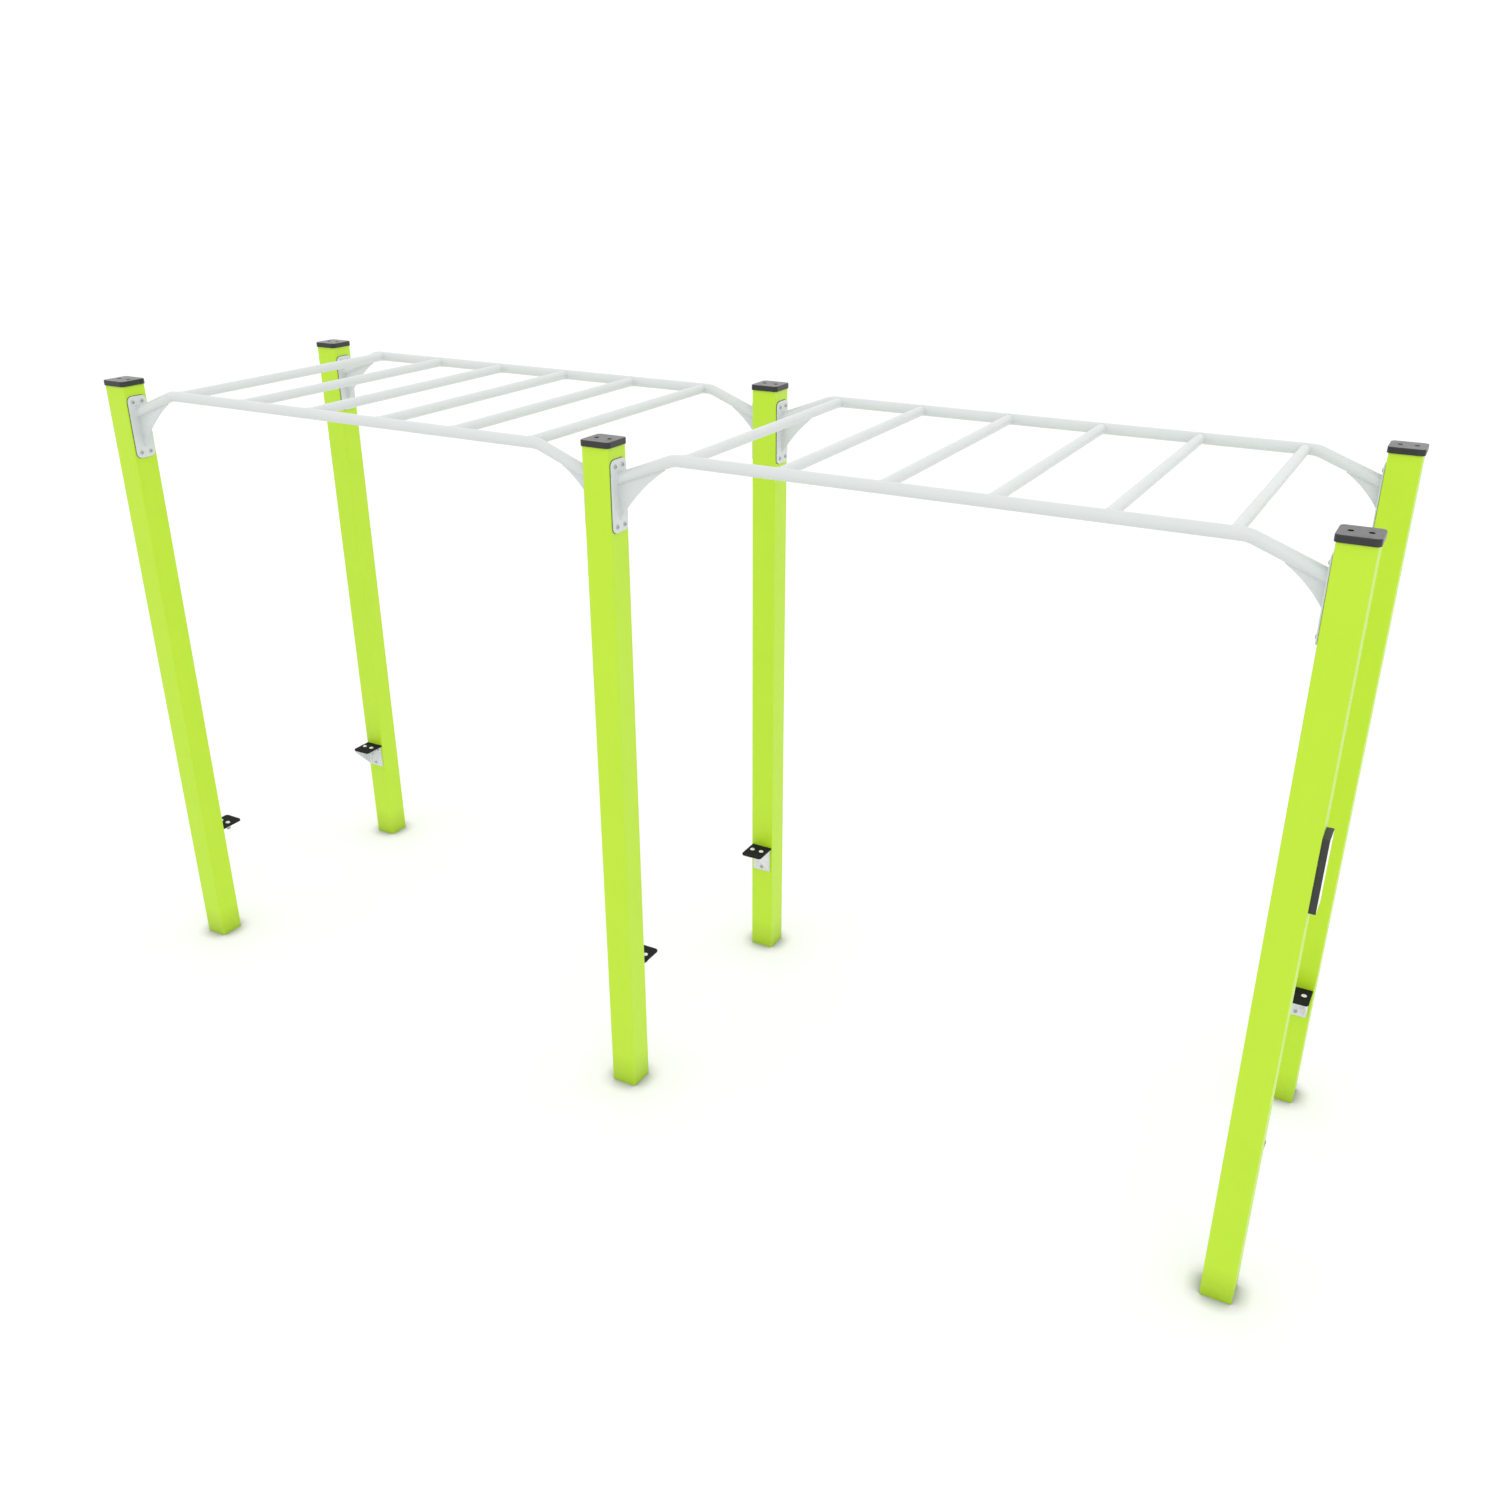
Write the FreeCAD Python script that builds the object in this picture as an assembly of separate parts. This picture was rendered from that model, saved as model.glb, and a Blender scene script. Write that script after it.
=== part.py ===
import FreeCAD, Part
import math
import os

# Monkey bars: two overhead ladders in line, carried on three pairs of square posts.
# Millimetres, +Z up. The origin is on the ground in the middle of the six posts,
# +X runs along the ladders and +Y goes from the front row of posts to the back row.

V = FreeCAD.Vector

# Overall layout
BAY = 2250.0            # post centre to post centre along a ladder
ROW = 1125.0            # front row to back row, post centres
BAYS = 2

# Posts, square tube standing straight on the ground
POST = 100.0
POST_WALL = 4.0
POST_CORNER = 3.0
POST_TOP = 2475.0
FOOT_T = 5.0            # plate welded flush in the open foot

# Caps, moulded lids held down by two screws
CAP_OVERHANG = 6.0
CAP_T = 20.0
CAP_CORNER = 15.0
CAP_EDGE = 3.0
CAP_PLUG = 15.0         # depth of the collar inside the post
CAP_PLUG_WALL = 5.0
CAP_PLUG_PLAY = 0.3
CAP_SCREW_X = 25.0
CAP_SINK_R = 6.5
CAP_SINK_DEPTH = 8.0
CLEAT_W = 30.0
CLEAT_T = 8.0

# Rails, round tube level between two short sloping ends
RAIL_R = 19.0
RAIL_WALL = 3.0
RAIL_Z = 2452.0
RAIL_SLOPE = 21.2       # degrees down towards the post
RAIL_CORNER_X = 261.0   # where the two straight runs would meet, from the post centre
RAIL_BEND_R = 100.0

# Rungs, round tube coped onto the rails
RUNG_R = 17.5
RUNG_WALL = 2.5
RUNGS = 6
RUNG_PITCH = 331.0

# Flange plates that bolt each rail end to its post
PLATE_W = 84.0
PLATE_H = 238.0
PLATE_T = 6.0
PLATE_Z = 2316.0
PLATE_CORNER = 20.0
PLATE_BOLT_Y = 21.0
PLATE_BOLT_Z = 98.0

# Gussets under the rail ends: height of the heel, reach of the tip, hollow of the edge
GUSSET_T = 6.0
GUSSET_NOSE = 3.0
GUSSET_LARGE = (2237.0, 230.0, 13.7)
GUSSET_SMALL = (2283.0, 164.0, 7.6)

# Bolts through the post wall into weld nuts
BOLT_R = 4.0
BOLT_PLAY = 0.5
BOLT_HEAD_R = 7.0
BOLT_HEAD_H = 4.4
BOLT_SOCKET = 5.0       # across flats
BOLT_SOCKET_DEPTH = 2.6
NUT_FLATS = 13.0
NUT_T = 6.5
NUT_PLAY = 0.1
BOLT_PROUD = 2.0        # thread showing past the nut

# Climbing steps on the inner faces of the posts
TREAD_TOP = 511.0
TREAD_T = 8.0
TREAD_W = 92.0
TREAD_DEPTH = 104.0
TREAD_CORNER = 12.0
BRACKET_T = 5.0
BRACKET_W = 80.0
BRACKET_BOTTOM = 392.0
BRACKET_DEPTH = 100.0
BRACKET_LIP = 8.0       # height of the web at its front end
BRACKET_BOLTS = [(0.0, 409.0), (-24.0, 485.0), (24.0, 485.0)]
TREAD_BOLT_X = 21.5
TREAD_BOLT_Y = 48.0     # from the post face
TREAD_HEAD_R = 10.0
TREAD_HEAD_H = 5.0
DOME_NUT_R = 9.5
DOME_NUT_H = 20.0
DOME_NUT_BORE = 10.5    # blind thread
TREAD_BOLT_GRIP = 10.0  # thread inside the nut

# Sign box at the end of the run, blank
SIGN_T = 20.0
SIGN_W = 84.0
SIGN_BOTTOM = 1438.0
SIGN_TOP = 1670.0
SIGN_WALL = 4.0
SIGN_CORNER = 3.0
SIGN_FACE_T = 1.5
SIGN_FACE_EDGE = 3.0
SIGN_SCREW_Z = 80.0
SIGN_BOSS_R = 9.0

# Small screws, used in the caps and in the sign
SCREW_R = 3.0
SCREW_PLAY = 0.4
SCREW_HEAD_R = 5.8
SCREW_HEAD_H = 4.0
SCREW_SOCKET = 4.0

# Derived places
HALF = POST / 2
BORE = POST - 2 * POST_WALL
PLATE_FACE = HALF + PLATE_T
CAP_TOP = POST_TOP + CAP_T
TREAD_UNDER = TREAD_TOP - TREAD_T
RUNG_START = (BAY - (RUNGS - 1) * RUNG_PITCH) / 2
SLOPE = math.radians(RAIL_SLOPE)
SIGN_MIDDLE = (SIGN_BOTTOM + SIGN_TOP) / 2

COLUMNS = {"left": -BAY, "middle": 0.0, "right": BAY}
ROWS = {"front": -ROW / 2, "back": ROW / 2}
FACE_TURNS = {"left": [0], "middle": [0, 180], "right": [180]}
STEP_TURN = {"front": 0, "back": 180}
# which side of each bracket carries the web, seen along +Y
WEB_SIDE = {
    ("front", "left"): -1, ("front", "middle"): -1, ("front", "right"): 1,
    ("back", "left"): -1, ("back", "middle"): 1, ("back", "right"): 1,
}
PLATE_BOLTS = [
    (y, z)
    for y in (-PLATE_BOLT_Y, PLATE_BOLT_Y)
    for z in (PLATE_Z - PLATE_BOLT_Z, PLATE_Z + PLATE_BOLT_Z)
]


# Building blocks

def box(x0, x1, y0, y1, z0, z1):
    return Part.makeBox(x1 - x0, y1 - y0, z1 - z0, V(x0, y0, z0))


def edges_along(shape, axis, keep=lambda point: True):
    """Straight edges parallel to an axis whose middle passes the test."""
    found = []
    for edge in shape.Edges:
        span = edge.Vertexes[-1].Point - edge.Vertexes[0].Point
        if span.Length > 1e-6 and abs(abs(span.dot(axis)) - span.Length) < 1e-6:
            middle = edge.Vertexes[0].Point + span * 0.5
            if keep(middle):
                found.append(edge)
    return found


def upright_block(width, depth, z0, z1, corner):
    """Block centred on the Z axis with rounded upright edges."""
    block = box(-width / 2, width / 2, -depth / 2, depth / 2, z0, z1)
    return block.makeFillet(corner, edges_along(block, V(0, 0, 1)))


def placed(shape, x, y, turn=0):
    """Copy of a shape turned about Z and then moved along the ground."""
    copy = shape.copy()
    copy.rotate(V(0, 0, 0), V(0, 0, 1), turn)
    copy.translate(V(x, y, 0))
    return copy


def hexagon(flats, height, base, direction):
    """Hexagonal bar that starts at a point and runs along a direction."""
    radius = flats / math.sqrt(3)
    corners = [
        V(radius * math.cos(math.pi * i / 3), radius * math.sin(math.pi * i / 3), 0)
        for i in range(7)
    ]
    bar = Part.Face(Part.makePolygon(corners)).extrude(V(0, 0, height))
    bar.rotate(V(0, 0, 0), *turn_to(direction))
    bar.translate(base)
    return bar


def turn_to(direction):
    """Axis and angle that carry +Z onto a direction."""
    rotation = FreeCAD.Rotation(V(0, 0, 1), direction)
    return rotation.Axis, math.degrees(rotation.Angle)


def screw(head_r, head_h, shank_r, length, socket, socket_depth, base, direction):
    """Domed screw: the head stands on the base along the direction, the shank runs back."""
    rim = 0.2 * head_h
    crown = 0.45 * head_r
    mid_r = 0.5 * (head_r + crown) + 0.12 * head_r
    mid_h = rim + 0.62 * (head_h - rim)
    outline = [
        Part.LineSegment(V(0, 0, 0), V(head_r, 0, 0)).toShape(),
        Part.LineSegment(V(head_r, 0, 0), V(head_r, 0, rim)).toShape(),
        Part.Arc(V(head_r, 0, rim), V(mid_r, 0, mid_h), V(crown, 0, head_h)).toShape(),
        Part.LineSegment(V(crown, 0, head_h), V(0, 0, head_h)).toShape(),
        Part.LineSegment(V(0, 0, head_h), V(0, 0, 0)).toShape(),
    ]
    head = Part.Face(Part.Wire(outline)).revolve(V(0, 0, 0), V(0, 0, 1), 360)
    whole = head.fuse(Part.makeCylinder(shank_r, length, V(0, 0, -length)))
    if socket:
        start = V(0, 0, head_h - socket_depth)
        whole = whole.cut(hexagon(socket, socket_depth + 1, start, V(0, 0, 1)))
    whole.rotate(V(0, 0, 0), *turn_to(direction))
    whole.translate(base)
    return whole


def weld_nut(base, direction):
    """Hexagonal nut that starts at the inner face of the post wall."""
    nut = hexagon(NUT_FLATS, NUT_T, base, direction)
    return nut.cut(Part.makeCylinder(BOLT_R + NUT_PLAY, NUT_T, base, direction))


def post_bolt(base, direction, grip):
    """Button-head bolt that clamps a plate to the post wall."""
    length = grip + POST_WALL + NUT_T + BOLT_PROUD
    return screw(
        BOLT_HEAD_R, BOLT_HEAD_H, BOLT_R, length, BOLT_SOCKET, BOLT_SOCKET_DEPTH,
        base, direction,
    )


# Posts and what is inside them

def post(row, column):
    tube = upright_block(POST, POST, 0, POST_TOP, POST_CORNER)
    tube = tube.cut(box(-BORE / 2, BORE / 2, -BORE / 2, BORE / 2, -1, POST_TOP + 1))
    drill = BOLT_R + BOLT_PLAY
    for turn in FACE_TURNS[column]:
        for y, z in PLATE_BOLTS:
            hole = Part.makeCylinder(drill, 3 * POST_WALL, V(HALF - 2 * POST_WALL, y, z), V(1, 0, 0))
            tube = tube.cut(placed(hole, 0, 0, turn))
    for x, z in BRACKET_BOLTS:
        hole = Part.makeCylinder(drill, 3 * POST_WALL, V(x, HALF - 2 * POST_WALL, z), V(0, 1, 0))
        tube = tube.cut(placed(hole, 0, 0, STEP_TURN[row]))
    if (row, column) == ("front", "right"):
        for z in sign_screw_heights():
            start = V(HALF - 2 * POST_WALL, 0, z)
            tube = tube.cut(Part.makeCylinder(SCREW_R, 3 * POST_WALL, start, V(1, 0, 0)))
    return tube


def foot_plate():
    return box(-BORE / 2, BORE / 2, -BORE / 2, BORE / 2, 0, FOOT_T)


def cleat():
    """Bar welded across the post under the cap, tapped for the two cap screws."""
    top = POST_TOP - CAP_PLUG
    bar = box(-BORE / 2, BORE / 2, -CLEAT_W / 2, CLEAT_W / 2, top - CLEAT_T, top)
    for x in (-CAP_SCREW_X, CAP_SCREW_X):
        start = V(x, 0, top - CLEAT_T - 1)
        bar = bar.cut(Part.makeCylinder(SCREW_R + NUT_PLAY, CLEAT_T + 2, start))
    return bar


# Caps

def cap():
    width = POST + 2 * CAP_OVERHANG
    lid = upright_block(width, width, POST_TOP, CAP_TOP, CAP_CORNER)
    rim = [e for e in lid.Edges if all(abs(v.Point.z - CAP_TOP) < 1e-6 for v in e.Vertexes)]
    lid = lid.makeFillet(CAP_EDGE, rim)
    collar_w = BORE - 2 * CAP_PLUG_PLAY
    low = POST_TOP - CAP_PLUG
    collar = upright_block(collar_w, collar_w, low, POST_TOP, 2)
    inner = collar_w / 2 - CAP_PLUG_WALL
    collar = collar.cut(box(-inner, inner, -inner, inner, low - 1, POST_TOP))
    lid = lid.fuse(collar)
    for x in (-CAP_SCREW_X, CAP_SCREW_X):
        through = Part.makeCylinder(SCREW_R + SCREW_PLAY, CAP_T + 2, V(x, 0, POST_TOP - 1))
        sink = Part.makeCylinder(CAP_SINK_R, CAP_SINK_DEPTH + 1, V(x, 0, CAP_TOP - CAP_SINK_DEPTH))
        lid = lid.cut(through).cut(sink)
    return lid


def cap_screw(x):
    seat = CAP_TOP - CAP_SINK_DEPTH
    length = seat - (POST_TOP - CAP_PLUG - CLEAT_T) + 2
    return screw(
        SCREW_HEAD_R, SCREW_HEAD_H, SCREW_R, length, SCREW_SOCKET, SCREW_HEAD_H / 2,
        V(x, 0, seat), V(0, 0, 1),
    )


# Overhead ladders, drawn with the left post of the bay at x = 0

def rail_height(x):
    """Height of the sloping run's axis at a distance from the post centre."""
    return RAIL_Z - (RAIL_CORNER_X - x) * math.tan(SLOPE)


def rail_axis():
    """Sloping run, bend, level run, bend, sloping run."""
    trim = RAIL_BEND_R * math.tan(SLOPE / 2)
    lift = RAIL_BEND_R * (1 / math.cos(SLOPE / 2) - 1)
    points = [
        V(0, 0, rail_height(0)),
        V(RAIL_CORNER_X - trim * math.cos(SLOPE), 0, RAIL_Z - trim * math.sin(SLOPE)),
        V(RAIL_CORNER_X + lift * math.sin(SLOPE / 2), 0, RAIL_Z - lift * math.cos(SLOPE / 2)),
        V(RAIL_CORNER_X + trim, 0, RAIL_Z),
    ]
    far = [V(BAY - p.x, 0, p.z) for p in reversed(points)]
    return Part.Wire([
        Part.LineSegment(points[0], points[1]).toShape(),
        Part.Arc(points[1], points[2], points[3]).toShape(),
        Part.LineSegment(points[3], far[0]).toShape(),
        Part.Arc(far[0], far[1], far[2]).toShape(),
        Part.LineSegment(far[2], far[3]).toShape(),
    ])


def rail_bar(radius):
    """Solid bar of a given radius along the rail's axis."""
    axis = rail_axis()
    start = V(0, 0, rail_height(0))
    ring = Part.Wire(Part.Circle(start, V(math.cos(SLOPE), 0, math.sin(SLOPE)), radius).toShape())
    return axis.makePipeShell([ring], True, True)


def rail(outer):
    between_plates = box(PLATE_FACE, BAY - PLATE_FACE, -ROW, ROW, 0, 2 * POST_TOP)
    return outer.cut(rail_bar(RAIL_R - RAIL_WALL)).common(between_plates)


def rung(x):
    """Tube across the ladder with both ends coped to the rails."""
    start = V(x, -ROW / 2, RAIL_Z)
    tube = Part.makeCylinder(RUNG_R, ROW, start, V(0, 1, 0))
    tube = tube.cut(Part.makeCylinder(RUNG_R - RUNG_WALL, ROW, start, V(0, 1, 0)))
    for y in ROWS.values():
        side = Part.makeCylinder(RAIL_R, 6 * RUNG_R, V(x - 3 * RUNG_R, y, RAIL_Z), V(1, 0, 0))
        tube = tube.cut(side)
    return tube


def flange_plate():
    """Plate on the +X face of a post centred on the Z axis."""
    plate = box(
        HALF, PLATE_FACE, -PLATE_W / 2, PLATE_W / 2, PLATE_Z - PLATE_H / 2, PLATE_Z + PLATE_H / 2
    )
    plate = plate.makeFillet(PLATE_CORNER, edges_along(plate, V(1, 0, 0)))
    for y, z in PLATE_BOLTS:
        hole = Part.makeCylinder(BOLT_R + BOLT_PLAY, 2 * PLATE_T, V(HALF - 1, y, z), V(1, 0, 0))
        plate = plate.cut(hole)
    return plate


def gusset(size, outer):
    """Web between plate and rail with a hollow lower edge and a blunt tip."""
    heel_z, reach, hollow = size
    heel = V(PLATE_FACE, 0, heel_z)
    tip_z = rail_height(reach) - RAIL_R / math.cos(SLOPE) - GUSSET_NOSE
    tip = V(reach, 0, tip_z)
    chord = tip - heel
    inward = V(-chord.z, 0, chord.x)
    inward.normalize()
    waist = heel + chord * 0.5 + inward * hollow
    above_tip = V(reach, 0, rail_height(reach))
    above_heel = V(PLATE_FACE, 0, rail_height(PLATE_FACE))
    outline = Part.Wire([
        Part.Arc(heel, waist, tip).toShape(),
        Part.LineSegment(tip, above_tip).toShape(),
        Part.LineSegment(above_tip, above_heel).toShape(),
        Part.LineSegment(above_heel, heel).toShape(),
    ])
    web = Part.Face(outline).extrude(V(0, GUSSET_T, 0))
    web.translate(V(0, -GUSSET_T / 2, 0))
    return web.cut(outer)


# Climbing steps, drawn on the +Y face of a post centred on the Z axis

def bracket(web_side):
    """Folded bracket: back plate, top shelf and one triangular web."""
    half = BRACKET_W / 2
    front = HALF + BRACKET_DEPTH
    back = box(-half, half, HALF, HALF + BRACKET_T, BRACKET_BOTTOM, TREAD_UNDER)
    shelf = box(-half, half, HALF, front, TREAD_UNDER - BRACKET_T, TREAD_UNDER)
    x0 = half - BRACKET_T if web_side > 0 else -half
    corners = [
        V(x0, HALF, BRACKET_BOTTOM),
        V(x0, HALF + BRACKET_T, BRACKET_BOTTOM),
        V(x0, front, TREAD_UNDER - BRACKET_LIP),
        V(x0, front, TREAD_UNDER),
        V(x0, HALF, TREAD_UNDER),
        V(x0, HALF, BRACKET_BOTTOM),
    ]
    web = Part.Face(Part.makePolygon(corners)).extrude(V(BRACKET_T, 0, 0))
    whole = back.fuse([shelf, web]).removeSplitter()
    for x, z in BRACKET_BOLTS:
        start = V(x, HALF - 1, z)
        whole = whole.cut(Part.makeCylinder(BOLT_R + BOLT_PLAY, 2 * BRACKET_T, start, V(0, 1, 0)))
    for x in (-TREAD_BOLT_X, TREAD_BOLT_X):
        start = V(x, HALF + TREAD_BOLT_Y, TREAD_UNDER - 2 * BRACKET_T)
        whole = whole.cut(Part.makeCylinder(BOLT_R + BOLT_PLAY, 3 * BRACKET_T, start))
    return whole


def tread():
    """Anti-slip plate with its two front corners rounded."""
    plate = box(
        -TREAD_W / 2, TREAD_W / 2, HALF, HALF + TREAD_DEPTH, TREAD_UNDER, TREAD_TOP
    )
    front = edges_along(plate, V(0, 0, 1), lambda p: p.y > HALF + TREAD_DEPTH / 2)
    plate = plate.makeFillet(TREAD_CORNER, front)
    for x in (-TREAD_BOLT_X, TREAD_BOLT_X):
        start = V(x, HALF + TREAD_BOLT_Y, TREAD_UNDER - 1)
        plate = plate.cut(Part.makeCylinder(BOLT_R + BOLT_PLAY, TREAD_T + 2, start))
    return plate


def tread_bolt(x):
    length = TREAD_T + BRACKET_T + TREAD_BOLT_GRIP
    seat = V(x, HALF + TREAD_BOLT_Y, TREAD_TOP)
    return screw(TREAD_HEAD_R, TREAD_HEAD_H, BOLT_R, length, 0, 0, seat, V(0, 0, 1))


def dome_nut(x):
    """Closed nut under the shelf, so no thread end can be touched."""
    top = TREAD_UNDER - BRACKET_T
    seat = V(x, HALF + TREAD_BOLT_Y, top)
    nut = Part.makeCylinder(DOME_NUT_R, DOME_NUT_H, seat, V(0, 0, -1))
    rim = [e for e in nut.Edges if all(abs(v.Point.z - top + DOME_NUT_H) < 1e-6 for v in e.Vertexes)]
    nut = nut.makeFillet(DOME_NUT_R / 2, rim)
    return nut.cut(Part.makeCylinder(BOLT_R + NUT_PLAY, DOME_NUT_BORE, seat, V(0, 0, -1)))


# Sign box on the +X face of the end post

def sign_screw_heights():
    return [SIGN_MIDDLE - SIGN_SCREW_Z, SIGN_MIDDLE + SIGN_SCREW_Z]


def sign_body():
    """Moulded tray, open towards the post, with two screw bosses."""
    block = box(HALF, HALF + SIGN_T, -SIGN_W / 2, SIGN_W / 2, SIGN_BOTTOM, SIGN_TOP)
    block = block.makeFillet(SIGN_CORNER, edges_along(block, V(1, 0, 0)))
    recess_x = HALF + SIGN_T - SIGN_FACE_T
    hollow = box(
        HALF - 1, recess_x - SIGN_WALL, -SIGN_W / 2 + SIGN_WALL, SIGN_W / 2 - SIGN_WALL,
        SIGN_BOTTOM + SIGN_WALL, SIGN_TOP - SIGN_WALL,
    )
    for z in sign_screw_heights():
        hollow = hollow.cut(Part.makeCylinder(SIGN_BOSS_R, SIGN_T, V(HALF - 1, 0, z), V(1, 0, 0)))
    body = block.cut(hollow).cut(sign_panel())
    for z in sign_screw_heights():
        through = Part.makeCylinder(SCREW_R + SCREW_PLAY, SIGN_T, V(HALF - 1, 0, z), V(1, 0, 0))
        seat = V(recess_x - SCREW_HEAD_H - 0.5, 0, z)
        body = body.cut(through).cut(Part.makeCylinder(CAP_SINK_R, SIGN_T, seat, V(1, 0, 0)))
    return body


def sign_panel():
    """Blank panel set flush in the front of the tray."""
    half = SIGN_W / 2 - SIGN_FACE_EDGE
    return box(
        HALF + SIGN_T - SIGN_FACE_T, HALF + SIGN_T, -half, half,
        SIGN_BOTTOM + SIGN_FACE_EDGE, SIGN_TOP - SIGN_FACE_EDGE,
    )


def sign_screw(z):
    seat_x = HALF + SIGN_T - SIGN_FACE_T - SCREW_HEAD_H - 0.5
    length = seat_x - HALF + POST_WALL + 3
    return screw(
        SCREW_HEAD_R, SCREW_HEAD_H, SCREW_R, length, SCREW_SOCKET, SCREW_HEAD_H / 2,
        V(seat_x, 0, z), V(1, 0, 0),
    )


# Assembly

nodes = {}


def add(name, *solids):
    nodes.setdefault(name, []).extend(solids)


cap_shape = cap()
tread_shape = tread()
plate_shape = flange_plate()
rail_outer = rail_bar(RAIL_R)
rail_shape = rail(rail_outer)
gusset_near = gusset(GUSSET_LARGE, rail_outer)
gusset_far = gusset(GUSSET_SMALL, rail_outer)
plate_bolts = [post_bolt(V(PLATE_FACE, y, z), V(1, 0, 0), PLATE_T) for y, z in PLATE_BOLTS]
plate_nuts = [weld_nut(V(HALF - POST_WALL, y, z), V(-1, 0, 0)) for y, z in PLATE_BOLTS]
step_bolts = [
    post_bolt(V(x, HALF + BRACKET_T, z), V(0, 1, 0), BRACKET_T) for x, z in BRACKET_BOLTS
]
step_nuts = [weld_nut(V(x, HALF - POST_WALL, z), V(0, -1, 0)) for x, z in BRACKET_BOLTS]

for row, y in ROWS.items():
    for column, x in COLUMNS.items():
        place = row + "_" + column
        turn = STEP_TURN[row]
        side = WEB_SIDE[(row, column)] * (1 if turn == 0 else -1)
        add("post_" + place, placed(post(row, column), x, y))
        add("cap_" + place, placed(cap_shape, x, y))
        add("post_foot_plates", placed(foot_plate(), x, y))
        add("cap_cleats", placed(cleat(), x, y))
        add("step_bracket_" + place, placed(bracket(side), x, y, turn))
        add("step_tread_" + place, placed(tread_shape, x, y, turn))
        add("bracket_bolts", *[placed(s, x, y, turn) for s in step_bolts])
        add("weld_nuts", *[placed(s, x, y, turn) for s in step_nuts])
        for screw_x in (-CAP_SCREW_X, CAP_SCREW_X):
            add("cap_screws", placed(cap_screw(screw_x), x, y))
        for bolt_x in (-TREAD_BOLT_X, TREAD_BOLT_X):
            add("tread_bolts", placed(tread_bolt(bolt_x), x, y, turn))
            add("tread_nuts", placed(dome_nut(bolt_x), x, y, turn))
        for face_turn in FACE_TURNS[column]:
            add("flange_bolts", *[placed(s, x, y, face_turn) for s in plate_bolts])
            add("weld_nuts", *[placed(s, x, y, face_turn) for s in plate_nuts])

for bay in range(BAYS):
    start = -BAY + bay * BAY
    side = ("left", "right")[bay]
    for row, y in ROWS.items():
        place = side + "_" + row
        add("rail_" + place, placed(rail_shape, start, y))
        add("flange_plates_" + place, placed(plate_shape, start, y))
        add("flange_plates_" + place, placed(plate_shape, start + BAY, y, 180))
        add("gussets_" + place, placed(gusset_near, start, y))
        add("gussets_" + place, placed(gusset_far, start + BAY, y, 180))
    for i in range(RUNGS):
        name = "rung_" + side + "_" + str(i + 1)
        add(name, placed(rung(RUNG_START + i * RUNG_PITCH), start, 0))

sign_x, sign_y = COLUMNS["right"], ROWS["front"]
add("sign_body", placed(sign_body(), sign_x, sign_y))
add("sign_face", placed(sign_panel(), sign_x, sign_y))
add("sign_screws", *[placed(sign_screw(z), sign_x, sign_y) for z in sign_screw_heights()])

os.makedirs("parts", exist_ok=True)
for name, solids in nodes.items():
    shape = solids[0] if len(solids) == 1 else Part.makeCompound(solids)
    shape.exportStep("parts/" + name + ".step")
    count = len(shape.Solids)
    box_size = shape.BoundBox
    print(name, count, "valid" if shape.isValid() else "INVALID",
          round(box_size.XLength, 1), round(box_size.YLength, 1), round(box_size.ZLength, 1))
print(len(nodes), "nodes")
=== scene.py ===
# %% [markdown]
# # Monkey bars
# Two overhead ladders in line stand on three pairs of square posts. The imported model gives
# every size and place. This lesson puts a finer surface on each visible piece, one piece at a
# time, and leaves the hidden pieces as they came. Posts, caps, rails and plates could each be
# a primitive with modifiers, but a surface worked out from two parameters keeps every edge
# radius a named number, so that is the way used here.

# %% Load the frame
import math

import bmesh
import bpy
import numpy as np
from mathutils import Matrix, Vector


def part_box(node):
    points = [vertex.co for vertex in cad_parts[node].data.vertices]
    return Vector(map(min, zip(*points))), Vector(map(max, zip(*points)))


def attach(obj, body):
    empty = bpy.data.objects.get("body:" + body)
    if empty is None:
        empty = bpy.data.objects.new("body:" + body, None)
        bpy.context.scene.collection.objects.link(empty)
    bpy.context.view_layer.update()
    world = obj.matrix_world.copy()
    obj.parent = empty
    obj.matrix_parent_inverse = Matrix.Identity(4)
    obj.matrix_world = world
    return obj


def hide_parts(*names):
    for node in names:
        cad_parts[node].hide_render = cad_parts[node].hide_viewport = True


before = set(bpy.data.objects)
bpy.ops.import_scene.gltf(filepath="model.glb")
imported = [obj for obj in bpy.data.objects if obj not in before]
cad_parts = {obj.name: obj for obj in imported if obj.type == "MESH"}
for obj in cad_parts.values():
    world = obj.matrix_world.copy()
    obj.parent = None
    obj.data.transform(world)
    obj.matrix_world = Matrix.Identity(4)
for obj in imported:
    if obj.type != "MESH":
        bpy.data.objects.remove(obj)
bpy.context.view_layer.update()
MM = 0.001
print("CAD nodes", len(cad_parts))

# %% [markdown]
# ## Places read from the frame
# A post stands where its node's box stands, so nothing is measured twice. The level height of
# the rails, the tube radii and the plate faces all come from the boxes in the same way. Only
# the slope of the rail ends and the bend are stated, because a box can't tell them.

# %% Places and sizes
COLUMNS = ("left", "middle", "right")
ROWS = ("front", "back")
BAYS = ("left", "right")
FACE_TURNS = {"left": (1,), "middle": (1, -1), "right": (-1,)}


def middle_and_size(node):
    low, high = (np.array(corner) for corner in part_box(node))
    return (low + high) / 2, high - low


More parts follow.
